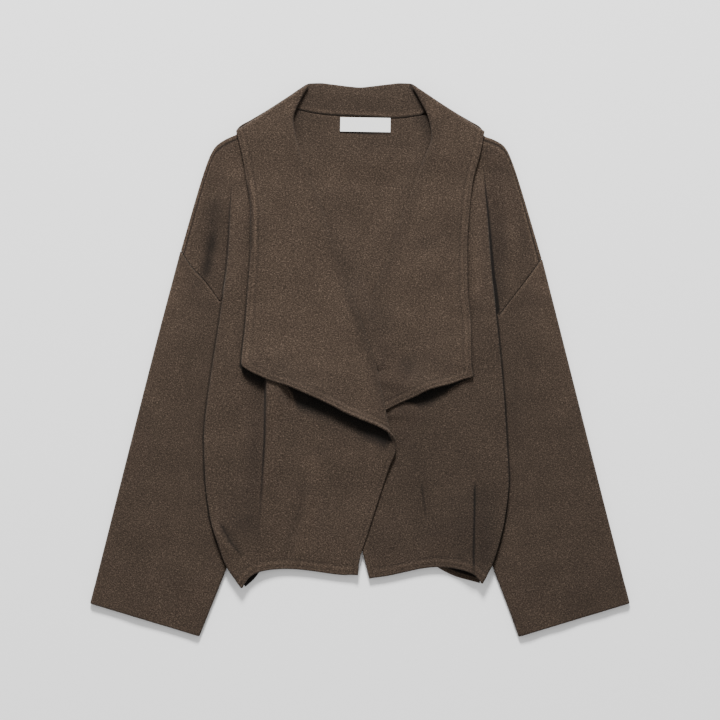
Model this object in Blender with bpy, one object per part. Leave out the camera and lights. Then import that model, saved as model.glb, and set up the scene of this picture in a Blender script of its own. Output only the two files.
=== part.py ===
"""A knitted cardigan with a wide shawl collar, laid out flat on its back.

X runs across the garment from the wearer's right to the left, Y from hem to collar and Z up
from the surface it lies on.  Each piece that a maker would cut is one object: a sheet drawn
through short tables of its edges and folds, lifted over the layers below it, and given its
thickness by a Solidify modifier.  Tables hold millimetres; meshes are in metres.
"""
import bpy
import numpy as np

MM = 0.001
CLOTH = 2.4                    # thickness of the knit
FLOOR = CLOTH / 2              # middle of a layer that rests on the surface
LAYER = 4.0                    # from the middle of a layer to the next, where an edge joins them
LAPEL_RISE = 3.6               # from the front's middle to the lapel's
SLEEVE_STACK = 7.2             # how far the body rises where it lies over a sleeve
FALL_STACK = 3.2               # how far the back rises over the collar's fall
BACK_RAMP = (-22.0, -8.0)      # where the back climbs onto a sleeve, from the edge of its covered part
FRONT_RAMP = (-52.0, -14.0)    # where the front climbs, which bridges the back's climb
FALL_RAMP = (-42.0, -3.0)      # where the back climbs onto the collar's fall, from the fall's edge
FALL_ENDS = (185.0, 156.0)     # and where it comes down again beyond the ends of the fall
SEAM_GAP = 0.4                 # clear space where the collar is sewn to the neck
ARMHOLE_GAP = 0.8              # clear space between a sleeve and the armhole

# Right and left are the wearer's.  Each outline is (down, x, y): distance down the panel from its
# shoulder, and the place there.
RIGHT_EDGE = (                 # free edge: lapel's side, lapel's lower edge, then the front's edge
    (0, -153, 283), (20, -148, 262), (60, -141, 222), (95, -138, 188), (145, -139, 138),
    (195, -142, 88), (240, -145, 40), (284, -149, -6), (296, -128, -15), (316, -85, -33),
    (334, -38, -54), (348, 0, -72), (358, 26, -84), (365, 38, -92), (373, 45, -101),
    (384, 46, -113), (402, 40, -130), (450, 25, -176), (490, 12, -216), (515, 3, -240),
    (526, 0, -250), (542, -2, -267),
)
RIGHT_ROLL = (                 # line on which the lapel turns back, then just inside the free edge
    (0, -62, 341), (15, -70, 328), (45, -81, 300), (68, -78, 279), (100, -71, 246),
    (120, -60, 225), (145, -50, 200), (180, -40, 162), (225, -21, 107), (262, -3, 60),
    (284, 7, 32), (310, 20, -8), (330, 27, -42), (348, 33, -72), (365, 36, -92),
    (384, 36, -111), (402, 31, -128), (450, 15, -172), (515, -7, -237), (542, -12, -266),
)
RIGHT_FOLD = (                 # fold that becomes the body's side
    (0, -155, 280), (30, -158, 250), (70, -160, 212), (140, -165, 140), (175, -168, 106),
    (200, -173, 78), (230, -178, 40), (290, -187, -12), (340, -193, -56), (384, -197, -96),
    (430, -195, -146), (470, -187, -196), (500, -177, -230), (520, -167, -256), (542, -146.5, -282.5),
)
RIGHT_SHOULDER = (             # middle of the drop shoulder, from its outline down to the fold
    (0, -190.5, 260), (8, -187.5, 252), (60, -181, 215), (120, -181, 155), (180, -180, 100),
    (200, -174, 77),
)
RIGHT_ARMHOLE = ((0, -221, 136), (8, -217, 129), (60, -208, 115), (130, -193, 98), (200, -175, 74))

LEFT_EDGE = (
    (0, 153, 282), (20, 149, 262), (60, 141, 222), (95, 137, 188), (145, 134, 138),
    (195, 136, 88), (240, 139, 40), (284, 140, -6), (296, 141, -23), (306, 118, -30),
    (318, 88, -39), (334, 46, -54), (348, 15, -72), (358, -6, -84), (368, -26, -96),
    (378, -36, -108), (402, -30, -134), (450, -18, -176), (490, -6, -212), (515, 3, -236),
    (526, 8, -252), (542, 14, -270),
)
LEFT_ROLL = (
    (0, 66, 340), (15, 72, 325), (45, 84, 300), (68, 88, 279), (100, 78, 250),
    (120, 69, 225), (145, 59, 198), (180, 47, 165), (225, 31, 119), (262, 14, 76),
    (284, 3, 50), (310, -7, 10), (330, -15, -24), (348, -22, -60), (368, -28, -94),
    (380, -26, -110), (402, -20, -132), (450, -8, -174), (515, 13, -238), (542, 24, -270),
)
LEFT_FOLD = (
    (0, 156, 278), (30, 152, 250), (70, 155, 216), (110, 160, 176), (160, 166, 124),
    (210, 174, 62), (240, 177, 36), (290, 181, -12), (340, 184, -60), (384, 186, -106),
    (430, 188, -152), (470, 184, -196), (500, 176, -231), (520, 167, -256), (542, 150, -279),
)
LEFT_SHOULDER = (
    (0, 189.5, 261), (8, 188.5, 252), (60, 189, 208), (120, 190, 148), (180, 183, 85), (210, 174, 60),
)
LEFT_ARMHOLE = ((0, 225, 126), (8, 221, 120), (60, 210, 105), (130, 195, 84), (210, 175, 57))

# How the lower part of a front bows away from a straight row, as (share from roll to fold, rise).
RIGHT_HEM_BOW = ((0, 0), (0.12, 0), (0.42, 9), (0.62, 15), (0.84, 19), (0.93, 11), (1, 0))
LEFT_HEM_BOW = ((0, 0), (0.2, 4), (0.42, 12), (0.56, 16), (0.75, 15), (0.92, 10), (1, 0))
HEM_BOW_STARTS = 440.0

# The lapel's own heights, as distances down the front.
LAPEL_UNFOLDS = (372.0, 346.0)  # from here up the edge lies folded back
BREAK_AT = 367.0               # where the free edge stands up as it turns over
BREAK_REACH = 9.0
LIFT_STARTS = (250.0, 300.0)   # the lapel's free corner lies a little clear of the front
LAPEL_LIFT = 3.0
RIGHT_LIFT_ENDS = (366.0, 330.0)
LEFT_LIFT_ENDS = (330.0, 316.0)
RIGHT_BREAK_STAND = 7.0        # height of the turned edge; on the left the right front holds it down
LEFT_BREAK_STAND = 0.0
ABOVE_LEFT = (7.0, 3.4)        # rise of the right front over the left: on its lapel, and below that
LEFT_LAPEL_ENDS = (-118.0, -165.0)  # height on the garment at which that lapel ends

# Control points of one row of a front, from the free edge to the outer seam.
LAPEL_SHARES = (1.0, 0.88, 0.66, 0.44, 0.24, 0.09, 0.0)      # of the way from the roll to the edge
FRONT_SHARES = (0.0, 0.08, 0.27, 0.48, 0.70)                 # of the way from the roll to the fold
FOLD_APPROACH = (14.0, 5.0, 0.0)                             # distances before the fold
# Past the fold a row crosses the shoulder, hangs at the armhole's end, or turns in to the side seam.
PAST_FOLD = (      # (share to the armhole, share of the step, hang drop, hang inset, return inset,
                   #  share of the return's drop, pleat inset)
    (0.02, 0.62, 1.8, 0.0, 0.3, 0.45, 0.4),
    (0.08, 0.20, 3.4, 0.3, 2.6, 0.93, 1.0),
    (0.15, 0.00, 4.4, 0.5, 4.0, 1.00, 0.9),
    (0.30, 0.00, 5.2, 0.5, 5.2, 1.00, 0.2),
    (0.50, 0.00, 5.9, 0.5, 6.4, 1.00, 0.0),
    (0.75, 0.00, 6.3, 0.5, 7.5, 1.00, 0.0),
    (1.00, 0.00, 6.6, 0.5, 8.6, 1.00, 0.0),
)
PLEAT_OVERHANG = 4.0           # how far the body's fold overhangs the shoulder beside it
ARMHOLE_ENDS = {"right": 196.0, "left": 208.0}   # distance down at which it goes under the fold
END_ROWS = (-6.0, 0.0, 9.0)    # rows about the armhole's end
FRONT_ROWS = (                 # distances down at which the front is drawn
    0, 0.12, 0.8, 2.8, 12, 28, 46, 66, 88, 110, 132, 154, 172, 186, 196, 208, 224, 242, 262, 276,
    284, 292, 304, 318, 332, 346, 358, 367, 376, 390, 410, 434, 458, 480, 500, 516, 530, 542,
)
FRONT_SAMPLES = (              # and the places along each row's spline
    0, 0.7, 1.6, 2.6, 3.4, 4.0, 4.5, 5.0, 5.5, 6.1, 7.0, 8.0, 9.0, 10.0, 10.8, 11.5, 12.1, 12.6,
    13.1, 13.6, 14.2, 15.0, 16.0, 17.2, 18.0, 19.0,
)
TOP_CURL = ((0, 1.0), (0.12, 0.55), (0.8, 0.17), (2.8, 0.0), (600, 0.0))   # (down, share of the turn)
EDGE_TURN = 1.55               # how far a shoulder edge turns towards the piece it is sewn to
COLLAR_TURN = 2.2              # how far the lapel's upper edge turns towards the collar's

# Large soft folds that lie on the fronts: (x0, y0, x1, y1, half width, height).
RIGHT_FOLDS = (
    (-108, -45, -124, -215, 11, 3.4),
    (-62, -140, -84, -240, 16, 1.8),
    (-82, -72, -82, -120, 8, 1.0),
    (-166, -195, -146, -244, 7, 2.0),
)
LEFT_FOLDS = (
    (71, -72, 80, -178, 12, 2.2),
    (138, -140, 141, -250, 10, 2.4),
)

NECK = (                       # the back's neck edge, from the right shoulder line to the left
    (-98, 313), (-88, 313.5), (-75, 312), (-60, 308.5), (-38, 305.5), (-15, 304), (15, 303.5),
    (45, 304), (68, 306), (80, 309), (92, 311),
)
BACK_HEM = (
    (-140.0, -275.4), (-131, -270.5), (-123, -261), (-100, -250), (-50, -232), (0, -225), (50, -235),
    (92, -255), (112, -265), (128, -271), (142.4, -273.2),
)
RIGHT_SHOULDER_LINE = (
    (-221, 136), (-212, 168), (-196, 220), (-191, 244), (-182, 260), (-169, 271), (-152, 278),
)
LEFT_SHOULDER_LINE = (
    (225, 126), (212, 170), (202, 200), (196, 222), (191, 244), (180, 262), (167, 272), (152, 277),
)

SLEEVES = {                    # outer and inner fold, armhole's hidden end, and where the body covers it
    "right": dict(
        outer=((0, -221.5, 135), (90, -246, 40), (250, -290, -131), (450, -334, -304)),
        inner=((0, -89, -58), (110, -122, -135), (240, -166, -259), (330, -201, -344)),
        hidden=((-173, 53), (-163, 2), (-130, -20), (-89, -58)),
        cover=((-178, 46), (-84, -40)),
    ),
    "left": dict(
        outer=((0, 225.5, 125), (80, 245, 50), (280, 295, -150), (450, 334, -302)),
        inner=((0, 91, -46), (110, 125, -138), (240, 168, -258), (300, 189, -312), (330, 200, -344)),
        hidden=((171, 40), (160, 12), (131, -13), (91, -46)),
        cover=((178, 32), (88, -38)),
    ),
}
SLEEVE_ROWS = 12
SLEEVE_TURN = ((2.6, 0.0), (0.9, 0.35), (0.0, 2.0), (0.9, 3.65), (2.6, 4.0))   # (inset, height)

COLLAR_TOP = (                 # upper outline, from the right end to the left: (x, y)
    (-153.5, 284), (-140, 295), (-118, 309), (-90, 325.5), (-70, 337), (-58, 343), (-38, 341.5),
    (0, 338.5), (38, 341), (58, 343), (70, 337), (95, 320), (125, 305), (142, 294), (153.5, 284),
)
FALL_EDGE = (                  # free edge of the fall, behind the back
    (-150, 273), (-135, 271), (-110, 268), (-84, 265), (-66, 263), (-52, 262), (-34, 261), (0, 260),
    (34, 261), (50, 262), (66, 263), (88, 265), (116, 268), (138, 271), (150, 273),
)
BACK_INSET = (                 # (down, distance of the back's side seam inside the body's side fold)
    (240, 24), (266, 17), (300, 11.5), (340, 9.8), (400, 9.8), (450, 9.8), (490, 10.4), (516, 11.2),
)
LABEL_CENTRE = (6.5, 292.8)
LABEL_SIZE = (65.0, 19.4, 0.8)

STAND_ROWS = ((0, 0.0), (0.25, 0.45), (0.5, 0.8), (0.75, 1.0))   # (share to the top, share of the rise)
ROLL_ROWS = ((0.35, 0.72), (0.0, 0.45), (0.7, 0.15), (2.6, 0.0))   # (inset, share of the rise)
FALL_ROWS = (0.3, 0.65, 1.0)   # shares of the fall's depth
STAND_RISE = 5.4               # top of the stand above the surface at the neck, less at its ends
STAND_END_RISE = 4.4

KNIT_COLOUR = (0.072, 0.051, 0.037, 1.0)
LABEL_COLOUR = (0.86, 0.86, 0.84, 1.0)
ROUGHNESS = 0.95


def smooth_through(table, at):
    """Values of a table at the places asked for, on a cubic that never overshoots its rows."""
    rows = np.asarray(table, float)
    x, y = rows[:, 0], rows[:, 1:]
    step = np.diff(x)[:, None]
    slope = np.diff(y, axis=0) / step
    tangent = np.zeros_like(y)
    before, after = slope[:-1], slope[1:]
    same = before * after > 0
    wide, narrow = 2 * step[1:] + step[:-1], step[1:] + 2 * step[:-1]
    with np.errstate(divide="ignore", invalid="ignore"):
        mean = (wide + narrow) / (wide / before + narrow / after)
    tangent[1:-1] = np.where(same, mean, 0.0)
    tangent[0], tangent[-1] = slope[0], slope[-1]
    at = np.clip(np.asarray(at, float), x[0], x[-1])
    i = np.clip(np.searchsorted(x, at, side="right") - 1, 0, len(x) - 2)
    h = (x[i + 1] - x[i])[..., None]
    u = ((at - x[i])[..., None]) / h
    return (y[i] * (1 + 2 * u) * (1 - u) ** 2 + tangent[i] * h * u * (1 - u) ** 2
            + y[i + 1] * u ** 2 * (3 - 2 * u) + tangent[i + 1] * h * u ** 2 * (u - 1))


def lengths_along(points):
    """Distance along an outline to each of its points."""
    return np.concatenate([[0.0], np.cumsum(np.linalg.norm(np.diff(points, axis=0), axis=1))])


def along_outline(points, shares):
    """Points at given shares of an outline's length, on a smooth curve through it."""
    points = np.asarray(points, float)
    reach = lengths_along(points)
    return smooth_through(np.column_stack([reach, points]), np.asarray(shares) * reach[-1])


def without_down(table):
    """The places of an outline, without their distances down."""
    return [row[1:] for row in table]


def ease(value, start, end):
    """0 at start, 1 at end, level at both."""
    u = np.clip((value - start) / (end - start), 0, 1)
    return u * u * (3 - 2 * u)


def spline_weights(controls, samples):
    """Weights of a clamped uniform cubic B-spline, a row for each sample from 0 to 1."""
    spans = controls - 3
    knots = np.concatenate([[0.0] * 3, np.linspace(0, 1, spans + 1), [1.0] * 3])
    samples = np.clip(samples, 0, 1 - 1e-9)[:, None]
    weights = ((samples >= knots[:-1]) & (samples < knots[1:])).astype(float)
    for degree in (1, 2, 3):
        lower, upper = knots[:-degree - 1], knots[degree + 1:]
        rise = np.diff(np.vstack([lower, knots[degree:-1]]), axis=0)[0]
        fall = upper - knots[1:-degree]
        up = np.divide(samples - lower, rise, out=np.zeros((len(samples), len(rise))), where=rise > 0)
        down = np.divide(upper - samples, fall, out=np.zeros((len(samples), len(fall))), where=fall > 0)
        weights = up * weights[:, :-1] + down * weights[:, 1:]
    return weights


def inside_sleeve(x, y, side):
    """How far a place lies inside the part of a sleeve that the body covers."""
    sleeve = SLEEVES[side]
    sign = -1 if side == "right" else 1
    top, bottom = np.array(sleeve["inner"][0][1:], float), np.array(sleeve["inner"][2][1:], float)
    run = (bottom - top) / np.linalg.norm(bottom - top)
    past_inner = sign * ((y - top[1]) * run[0] - (x - top[0]) * run[1])
    corner, end = np.array(sleeve["cover"], float)
    lead = (end - corner) / np.linalg.norm(end - corner)
    below_top = sign * ((y - corner[1]) * lead[0] - (x - corner[0]) * lead[1])
    return np.minimum(past_inner + 3, below_top)


def over_sleeves(x, y, start, end):
    """1 where the body lies over a sleeve, rising to it between two distances from its covered part."""
    return ease(inside_sleeve(x, y, "right"), start, end) + ease(inside_sleeve(x, y, "left"), start, end)


def over_fall(x, y):
    """1 where the back lies over the collar's fall."""
    edge_x, edge_y = np.array(FALL_EDGE).T
    past_edge = y - np.interp(x, edge_x, edge_y)
    return ease(past_edge, *FALL_RAMP) * ease(np.abs(x), *FALL_ENDS)


def back_height(x, y):
    """Middle of the back: on the surface, over both sleeves, and over the collar's fall."""
    return FLOOR + SLEEVE_STACK * over_sleeves(x, y, *BACK_RAMP) + FALL_STACK * over_fall(x, y)


def ridge(x, y, folds):
    """Height that the soft folds of a table add."""
    total = np.zeros_like(x)
    for x0, y0, x1, y1, half_width, height in folds:
        length = np.hypot(x1 - x0, y1 - y0)
        along = ((x - x0) * (x1 - x0) + (y - y0) * (y1 - y0)) / length
        across = ((x - x0) * (y1 - y0) - (y - y0) * (x1 - x0)) / length
        ends = ease(along, -25, 15) * ease(along, length + 25, length - 15)
        total = total + height * ends * np.exp(-(across / half_width) ** 2)
    return total


def sheet(name, points, material, closed_across=False, thickness=CLOTH):
    """A wall of cloth about a grid of points, rows by columns, its first side facing up."""
    rows, columns = points.shape[:2]
    index = np.arange(rows * columns).reshape(rows, columns)
    if closed_across:
        index = np.concatenate([index, index[:, :1]], axis=1)
    quads = np.stack([index[:-1, :-1], index[1:, :-1], index[1:, 1:], index[:-1, 1:]], axis=-1)
    mesh = bpy.data.meshes.new(name)
    mesh.from_pydata((points.reshape(-1, 3) * MM).tolist(), [], quads.reshape(-1, 4).tolist())
    mesh.shade_smooth()
    piece = bpy.data.objects.new(name, mesh)
    bpy.context.scene.collection.objects.link(piece)
    wall = piece.modifiers.new("Cloth", "SOLIDIFY")
    wall.thickness = thickness * MM
    wall.offset = 0.0
    wall.use_rim = True
    mesh.materials.append(material)


def finish(name, colour):
    """A plain material of one colour."""
    material = bpy.data.materials.new(name)
    material.use_nodes = True
    shader = material.node_tree.nodes["Principled BSDF"]
    shader.inputs["Base Color"].default_value = colour
    shader.inputs["Roughness"].default_value = ROUGHNESS
    shader.inputs["Metallic"].default_value = 0.0
    return material


def towards(start, end):
    """Unit steps from one row of places to another."""
    step = end - start
    return step / np.linalg.norm(step, axis=1)[:, None]


def front(side, edge, roll, fold, shoulder, armhole, bow, folds, raise_over, break_stand, lift_ends):
    """A front with its lapel: each row runs from the free edge over the roll to the outer seam."""
    sign = -1 if side == "right" else 1
    armhole_end = ARMHOLE_ENDS[side]
    near_end = [armhole_end + step for step in END_ROWS]
    clear = 13.0
    down = np.array(sorted([d for d in FRONT_ROWS if abs(d - armhole_end) > clear] + near_end), float)
    edge_at, roll_at, fold_at = [smooth_through(line, down) for line in (edge, roll, fold)]
    shoulder_at, armhole_at = smooth_through(shoulder, down), smooth_through(armhole, down)

    # Above the armhole's end the front steps down at the fold onto the shoulder.
    step = SLEEVE_STACK * ease(down, 30, armhole_end - 12) * ease(down, armhole_end + 70, armhole_end)

    def layer(place):
        """Middle of the front at a place, before its own turns."""
        x, y = place[..., 0], place[..., 1]
        from_fold = np.linalg.norm(place - fold_at[:, None], axis=-1)
        sleeve_rise = SLEEVE_STACK * over_sleeves(x, y, *FRONT_RAMP)
        pleat_rise = step[:, None] * ease(from_fold, 62, 10)
        return (FLOOR + FALL_STACK * over_fall(x, y) + LAYER + np.maximum(sleeve_rise, pleat_rise)
                + ridge(x, y, folds) + raise_over(x, y))

    # The lapel lies folded back down to its break, where the edge turns up and over.
    shares = np.array(LAPEL_SHARES)
    lapel = roll_at[:, None] + (edge_at - roll_at)[:, None] * shares[None, :, None]
    stand = break_stand * np.exp(-((down - BREAK_AT) / BREAK_REACH) ** 2)
    lift = LAPEL_LIFT * ease(down, *LIFT_STARTS) * ease(down, *lift_ends)
    curl = smooth_through(TOP_CURL, down)
    meets_collar = ease(lapel[..., 0] * sign, 74, 96)
    lapel_height = (layer(lapel) + LAPEL_RISE * ease(down, *LAPEL_UNFOLDS)[:, None]
                    + (stand + lift)[:, None] * shares ** 1.5
                    - curl * (COLLAR_TURN + LAPEL_RISE * meets_collar))

    inner = roll_at[:, None] + (fold_at - roll_at)[:, None] * np.array(FRONT_SHARES)[None, :, None]
    from_fold = np.array(FOLD_APPROACH)[None, :, None]
    approach = fold_at[:, None] + towards(fold_at, roll_at)[:, None] * from_fold
    body = np.concatenate([inner, approach], axis=1)
    body_share = np.array(FRONT_SHARES + (0.90, 0.965, 1.0))
    body[..., 1] += smooth_through(bow, body_share)[:, 0] * ease(down, HEM_BOW_STARTS, down[-1])[:, None]
    body_height = layer(body)
    inward = towards(fold_at, body[:, -3])[:, None]

    # Past the fold, three ways that a row can go.
    share, kept_step, drop, hang_inset, turn_inset, turn_drop, pleat_inset = np.array(PAST_FOLD).T
    top = body_height[:, -1:]
    path = np.stack([fold_at, (fold_at + shoulder_at) / 2, shoulder_at,
                     (shoulder_at + armhole_at) / 2, armhole_at], axis=1)
    stops = np.linspace(0, 1, 5)
    across = np.stack([[np.interp(share, stops, row[:, k]) for k in (0, 1)] for row in path]).swapaxes(1, 2)
    level = FLOOR + FALL_STACK * over_fall(across[..., 0], across[..., 1]) + LAYER
    across_height = level * (1 - kept_step) + np.maximum(top, level) * kept_step
    overhang = PLEAT_OVERHANG * ease(down, 60, 130) * ease(down, armhole_end, armhole_end - 40)
    across = across + inward * (pleat_inset * overhang[:, None])[..., None]
    hang = fold_at[:, None] + inward * hang_inset[None, :, None]
    turned = fold_at[:, None] + inward * turn_inset[None, :, None]
    is_above = (down < armhole_end)[:, None]
    is_end = (down == armhole_end)[:, None]
    past = np.where(is_above[..., None], across, np.where(is_end[..., None], hang, turned))
    past_height = np.where(is_above, across_height, np.where(is_end, top - drop, top - LAYER * turn_drop))

    # The shoulder edge turns down to meet the back's, except over the collar's stand.
    body_height -= curl * EDGE_TURN * ease(body[..., 0] * sign, 84, 104)
    past_height -= curl * EDGE_TURN

    plan = np.concatenate([lapel, body, past], axis=1)
    height = np.concatenate([lapel_height, body_height, past_height], axis=1)
    controls = np.concatenate([plan, height[..., None]], axis=-1)
    samples = np.array(FRONT_SAMPLES) / FRONT_SAMPLES[-1]
    points = np.einsum("sc,rcd->rsd", spline_weights(controls.shape[1], samples), controls)
    sheet("front_" + side, points[:, ::-1] if side == "right" else points, knit)


def clear_of_left(x, y):
    """How far the right front rises where it crosses the left front and its lapel."""
    left = smooth_through([(-row[2], row[1]) for row in LEFT_ROLL if row[2] < 320], -y)[..., 0]
    on_lapel, below = ABOVE_LEFT
    height = on_lapel + (below - on_lapel) * ease(y, *LEFT_LAPEL_ENDS)
    return height * ease(x, left - 46, left - 12) * ease(y, 150, 70)


def flat_below(x, y):
    """Nothing but the back lies under the left front."""
    return np.zeros_like(x)


def back():
    """The back, a sheet between its shoulders and neck, its sides and its hem."""
    across, rows = 25, 26
    top = np.concatenate([
        along_outline(RIGHT_SHOULDER_LINE + NECK[:1], np.linspace(0, 1, 8))[:-1],
        along_outline(NECK, np.linspace(0, 1, 11)),
        along_outline(NECK[-1:] + LEFT_SHOULDER_LINE[::-1], np.linspace(0, 1, 8))[1:],
    ])
    hem = along_outline(BACK_HEM, np.linspace(0, 1, across))
    right = side_of_back(RIGHT_ARMHOLE, RIGHT_FOLD, 1, BACK_HEM[0])
    left = side_of_back(LEFT_ARMHOLE, LEFT_FOLD, -1, BACK_HEM[-1])
    s = np.linspace(0, 1, across)[None, :, None]
    t = np.concatenate([[0, 0.0002, 0.0015, 0.0055], np.linspace(0.03, 1, rows - 4)])[:, None, None]
    right, left = along_outline(right, t.ravel()), along_outline(left, t.ravel())
    plan = ((1 - t) * top[None] + t * hem[None] + (1 - s) * right[:, None] + s * left[:, None]
            - (1 - t) * ((1 - s) * top[0] + s * top[-1]) - t * ((1 - s) * hem[0] + s * hem[-1]))
    height = back_height(plan[..., 0], plan[..., 1])
    beside_neck = ease(np.abs(plan[0, :, 0] + 3), 97, 106)
    turn = [share for _, share in TOP_CURL[:3]]
    height[:3] += EDGE_TURN * np.array(turn)[:, None] * beside_neck
    sheet("back", np.concatenate([plan, height[..., None]], axis=-1)[:, ::-1], knit)


def side_of_back(armhole, fold, inward, corner):
    """The back's side: the armhole, then inside the body's side fold, down to the hem's corner."""
    inset = np.array(BACK_INSET, float)
    lower = smooth_through(fold, inset[:, 0]) + inset[:, 1:] * np.array([inward, 0.0])
    return without_down(armhole) + list(lower) + [corner]


def sleeve(side):
    """A sleeve: a flat tube from the armhole to the cuff."""
    lines = SLEEVES[side]
    t = np.linspace(0, 1, SLEEVE_ROWS)
    outer = along_outline(without_down(lines["outer"]), t)
    inner = along_outline(without_down(lines["inner"]), t)
    sign = -1 if side == "right" else 1
    armhole = RIGHT_ARMHOLE if side == "right" else LEFT_ARMHOLE
    away = np.array([0.6 * sign, -0.8]) * ARMHOLE_GAP
    sewn = smooth_through(armhole, np.linspace(0, armhole[-1][0], 5)) + away
    top = np.concatenate([sewn, np.array(lines["hidden"], float)])
    across = lengths_along(top) / lengths_along(top)[-1]
    outer[0], inner[0] = top[0], top[-1]
    cuff = outer[-1] + (inner[-1] - outer[-1]) * across[:, None]
    s, t = across[None, :, None], t[:, None, None]
    plan = ((1 - t) * top[None] + t * cuff[None] + (1 - s) * outer[:, None] + s * inner[:, None]
            - (1 - t) * ((1 - s) * top[0] + s * top[-1]) - t * ((1 - s) * cuff[0] + s * cuff[-1]))
    lead = towards(plan[:, 0], plan[:, 1])
    tail = towards(plan[:, -1], plan[:, -2])
    ring = []
    for inset, height in SLEEVE_TURN:
        ring.append(np.column_stack([plan[:, 0] + lead * inset, np.full(SLEEVE_ROWS, height)]))
    for column in range(1, len(across) - 1):
        ring.append(np.column_stack([plan[:, column], np.full(SLEEVE_ROWS, LAYER)]))
    for inset, height in SLEEVE_TURN[::-1]:
        ring.append(np.column_stack([plan[:, -1] + tail * inset, np.full(SLEEVE_ROWS, height)]))
    for column in range(len(across) - 2, 0, -1):
        ring.append(np.column_stack([plan[:, column], np.zeros(SLEEVE_ROWS)]))
    points = np.stack(ring, axis=1)
    points[..., 2] += FLOOR
    sheet("sleeve_" + side, points if side == "right" else points[:, ::-1], knit, closed_across=True)


def collar():
    """The collar: its stand from the neck seam up, over the roll, and the fall behind the back."""
    columns = np.linspace(0, 1, 29)
    top, fall = along_outline(COLLAR_TOP, columns), along_outline(FALL_EDGE, columns)
    neck_x, neck_y = along_outline(NECK, np.linspace(0, 1, 41)).T
    # Beyond the neck the stand narrows to a strip along the top of the lapel.
    beyond = ease(np.abs(top[:, 0] + 3), 78, 100)
    strip = 3.2
    foot_y = np.interp(top[:, 0], neck_x, neck_y) + SEAM_GAP
    foot = np.column_stack([top[:, 0], foot_y * (1 - beyond) + (top[:, 1] - strip) * beyond])
    down = towards(top, fall)
    rise = STAND_RISE + (STAND_END_RISE - STAND_RISE) * beyond
    foot_height = (FLOOR + FALL_STACK) * (1 - beyond) + rise * beyond
    rows = []
    for share, rise_share in STAND_ROWS:
        height = foot_height + rise_share * (1 - beyond) - 0.9 * share * beyond
        rows.append(np.column_stack([foot + (top - foot) * share, height]))
    for inset, share in ROLL_ROWS:
        rows.append(np.column_stack([top + down * inset, FLOOR + (rise - FLOOR) * share]))
    turned = top + down * ROLL_ROWS[-1][0]
    for share in FALL_ROWS:
        rows.append(np.column_stack([turned + (fall - turned) * share, np.full(len(columns), FLOOR)]))
    sheet("collar", np.stack(rows)[:, ::-1], knit)


def label():
    """A bare woven label, flat on the back's inside below the neck seam."""
    half = np.array(LABEL_SIZE[:2]) / 2
    corners = np.array([[(-1, 1), (1, 1)], [(-1, -1), (1, -1)]]) * half + LABEL_CENTRE
    level = FLOOR + FALL_STACK + CLOTH / 2 + 0.3 + LABEL_SIZE[2] / 2
    points = np.concatenate([corners, np.full((2, 2, 1), level)], axis=-1)
    sheet("label", points, finish("woven_label", LABEL_COLOUR), thickness=LABEL_SIZE[2])


for old in list(bpy.data.objects):
    bpy.data.objects.remove(old)
knit = finish("heather_knit", KNIT_COLOUR)
back()
front("left", LEFT_EDGE, LEFT_ROLL, LEFT_FOLD, LEFT_SHOULDER, LEFT_ARMHOLE,
      LEFT_HEM_BOW, LEFT_FOLDS, flat_below, LEFT_BREAK_STAND, LEFT_LIFT_ENDS)
front("right", RIGHT_EDGE, RIGHT_ROLL, RIGHT_FOLD, RIGHT_SHOULDER, RIGHT_ARMHOLE,
      RIGHT_HEM_BOW, RIGHT_FOLDS, clear_of_left, RIGHT_BREAK_STAND, RIGHT_LIFT_ENDS)
sleeve("right")
sleeve("left")
collar()
label()
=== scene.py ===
"""A knitted shawl collar cardigan laid out flat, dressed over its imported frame.

Left and right are the wearer's.  Lengths in the tables are millimetres, meshes are in metres.
"""
from functools import partial

import bpy
import numpy as np
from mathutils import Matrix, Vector


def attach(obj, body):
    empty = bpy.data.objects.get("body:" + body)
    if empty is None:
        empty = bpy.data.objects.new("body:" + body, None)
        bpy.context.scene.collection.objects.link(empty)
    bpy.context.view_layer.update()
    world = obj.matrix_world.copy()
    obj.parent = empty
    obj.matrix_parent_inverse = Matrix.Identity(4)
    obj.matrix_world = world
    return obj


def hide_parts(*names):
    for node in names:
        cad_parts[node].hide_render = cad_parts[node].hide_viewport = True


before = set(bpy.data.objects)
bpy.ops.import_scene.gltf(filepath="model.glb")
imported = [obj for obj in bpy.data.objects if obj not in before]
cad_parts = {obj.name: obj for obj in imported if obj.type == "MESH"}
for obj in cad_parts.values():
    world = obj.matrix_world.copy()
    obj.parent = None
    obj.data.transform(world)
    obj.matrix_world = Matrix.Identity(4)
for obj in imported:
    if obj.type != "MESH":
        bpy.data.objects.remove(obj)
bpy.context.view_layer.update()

# ---------------------------------------------------------------------------------------------
# The sleeves.  Wide flat tubes, set on the drop shoulder under the body's sides, each with a turned
# cuff.  Like the rest, they are a fulled double knit of mixed brown and grey yarns with a short
# matt nap, its stitches about 1.7 mm wide, speckled with lighter and darker fibres.
# ---------------------------------------------------------------------------------------------
MM = 0.001                     # a millimetre in metres
CLOTH = 2.4                    # thickness of the knit
FLOOR = CLOTH / 2              # height of the middle of a sheet that lies on the ground
LAYER = 4.0                    # from the middle of a sheet to that of the sheet on top of it
FAR = 50.0                     # stands for a distance too far to matter
OUTWARD = {"right": -1, "left": 1}     # sign of x on each of the wearer's sides
ARMHOLES = {                   # (down the seam, x, y)
    "right": ((0, -223, 136), (8, -219, 129), (60, -209, 115), (130, -193, 98), (200, -170.5, 67)),
    "left": ((0, 226.2, 126), (8, 222, 120), (60, 211, 105), (130, 195, 84), (210, 169, 50)),
}
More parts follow.
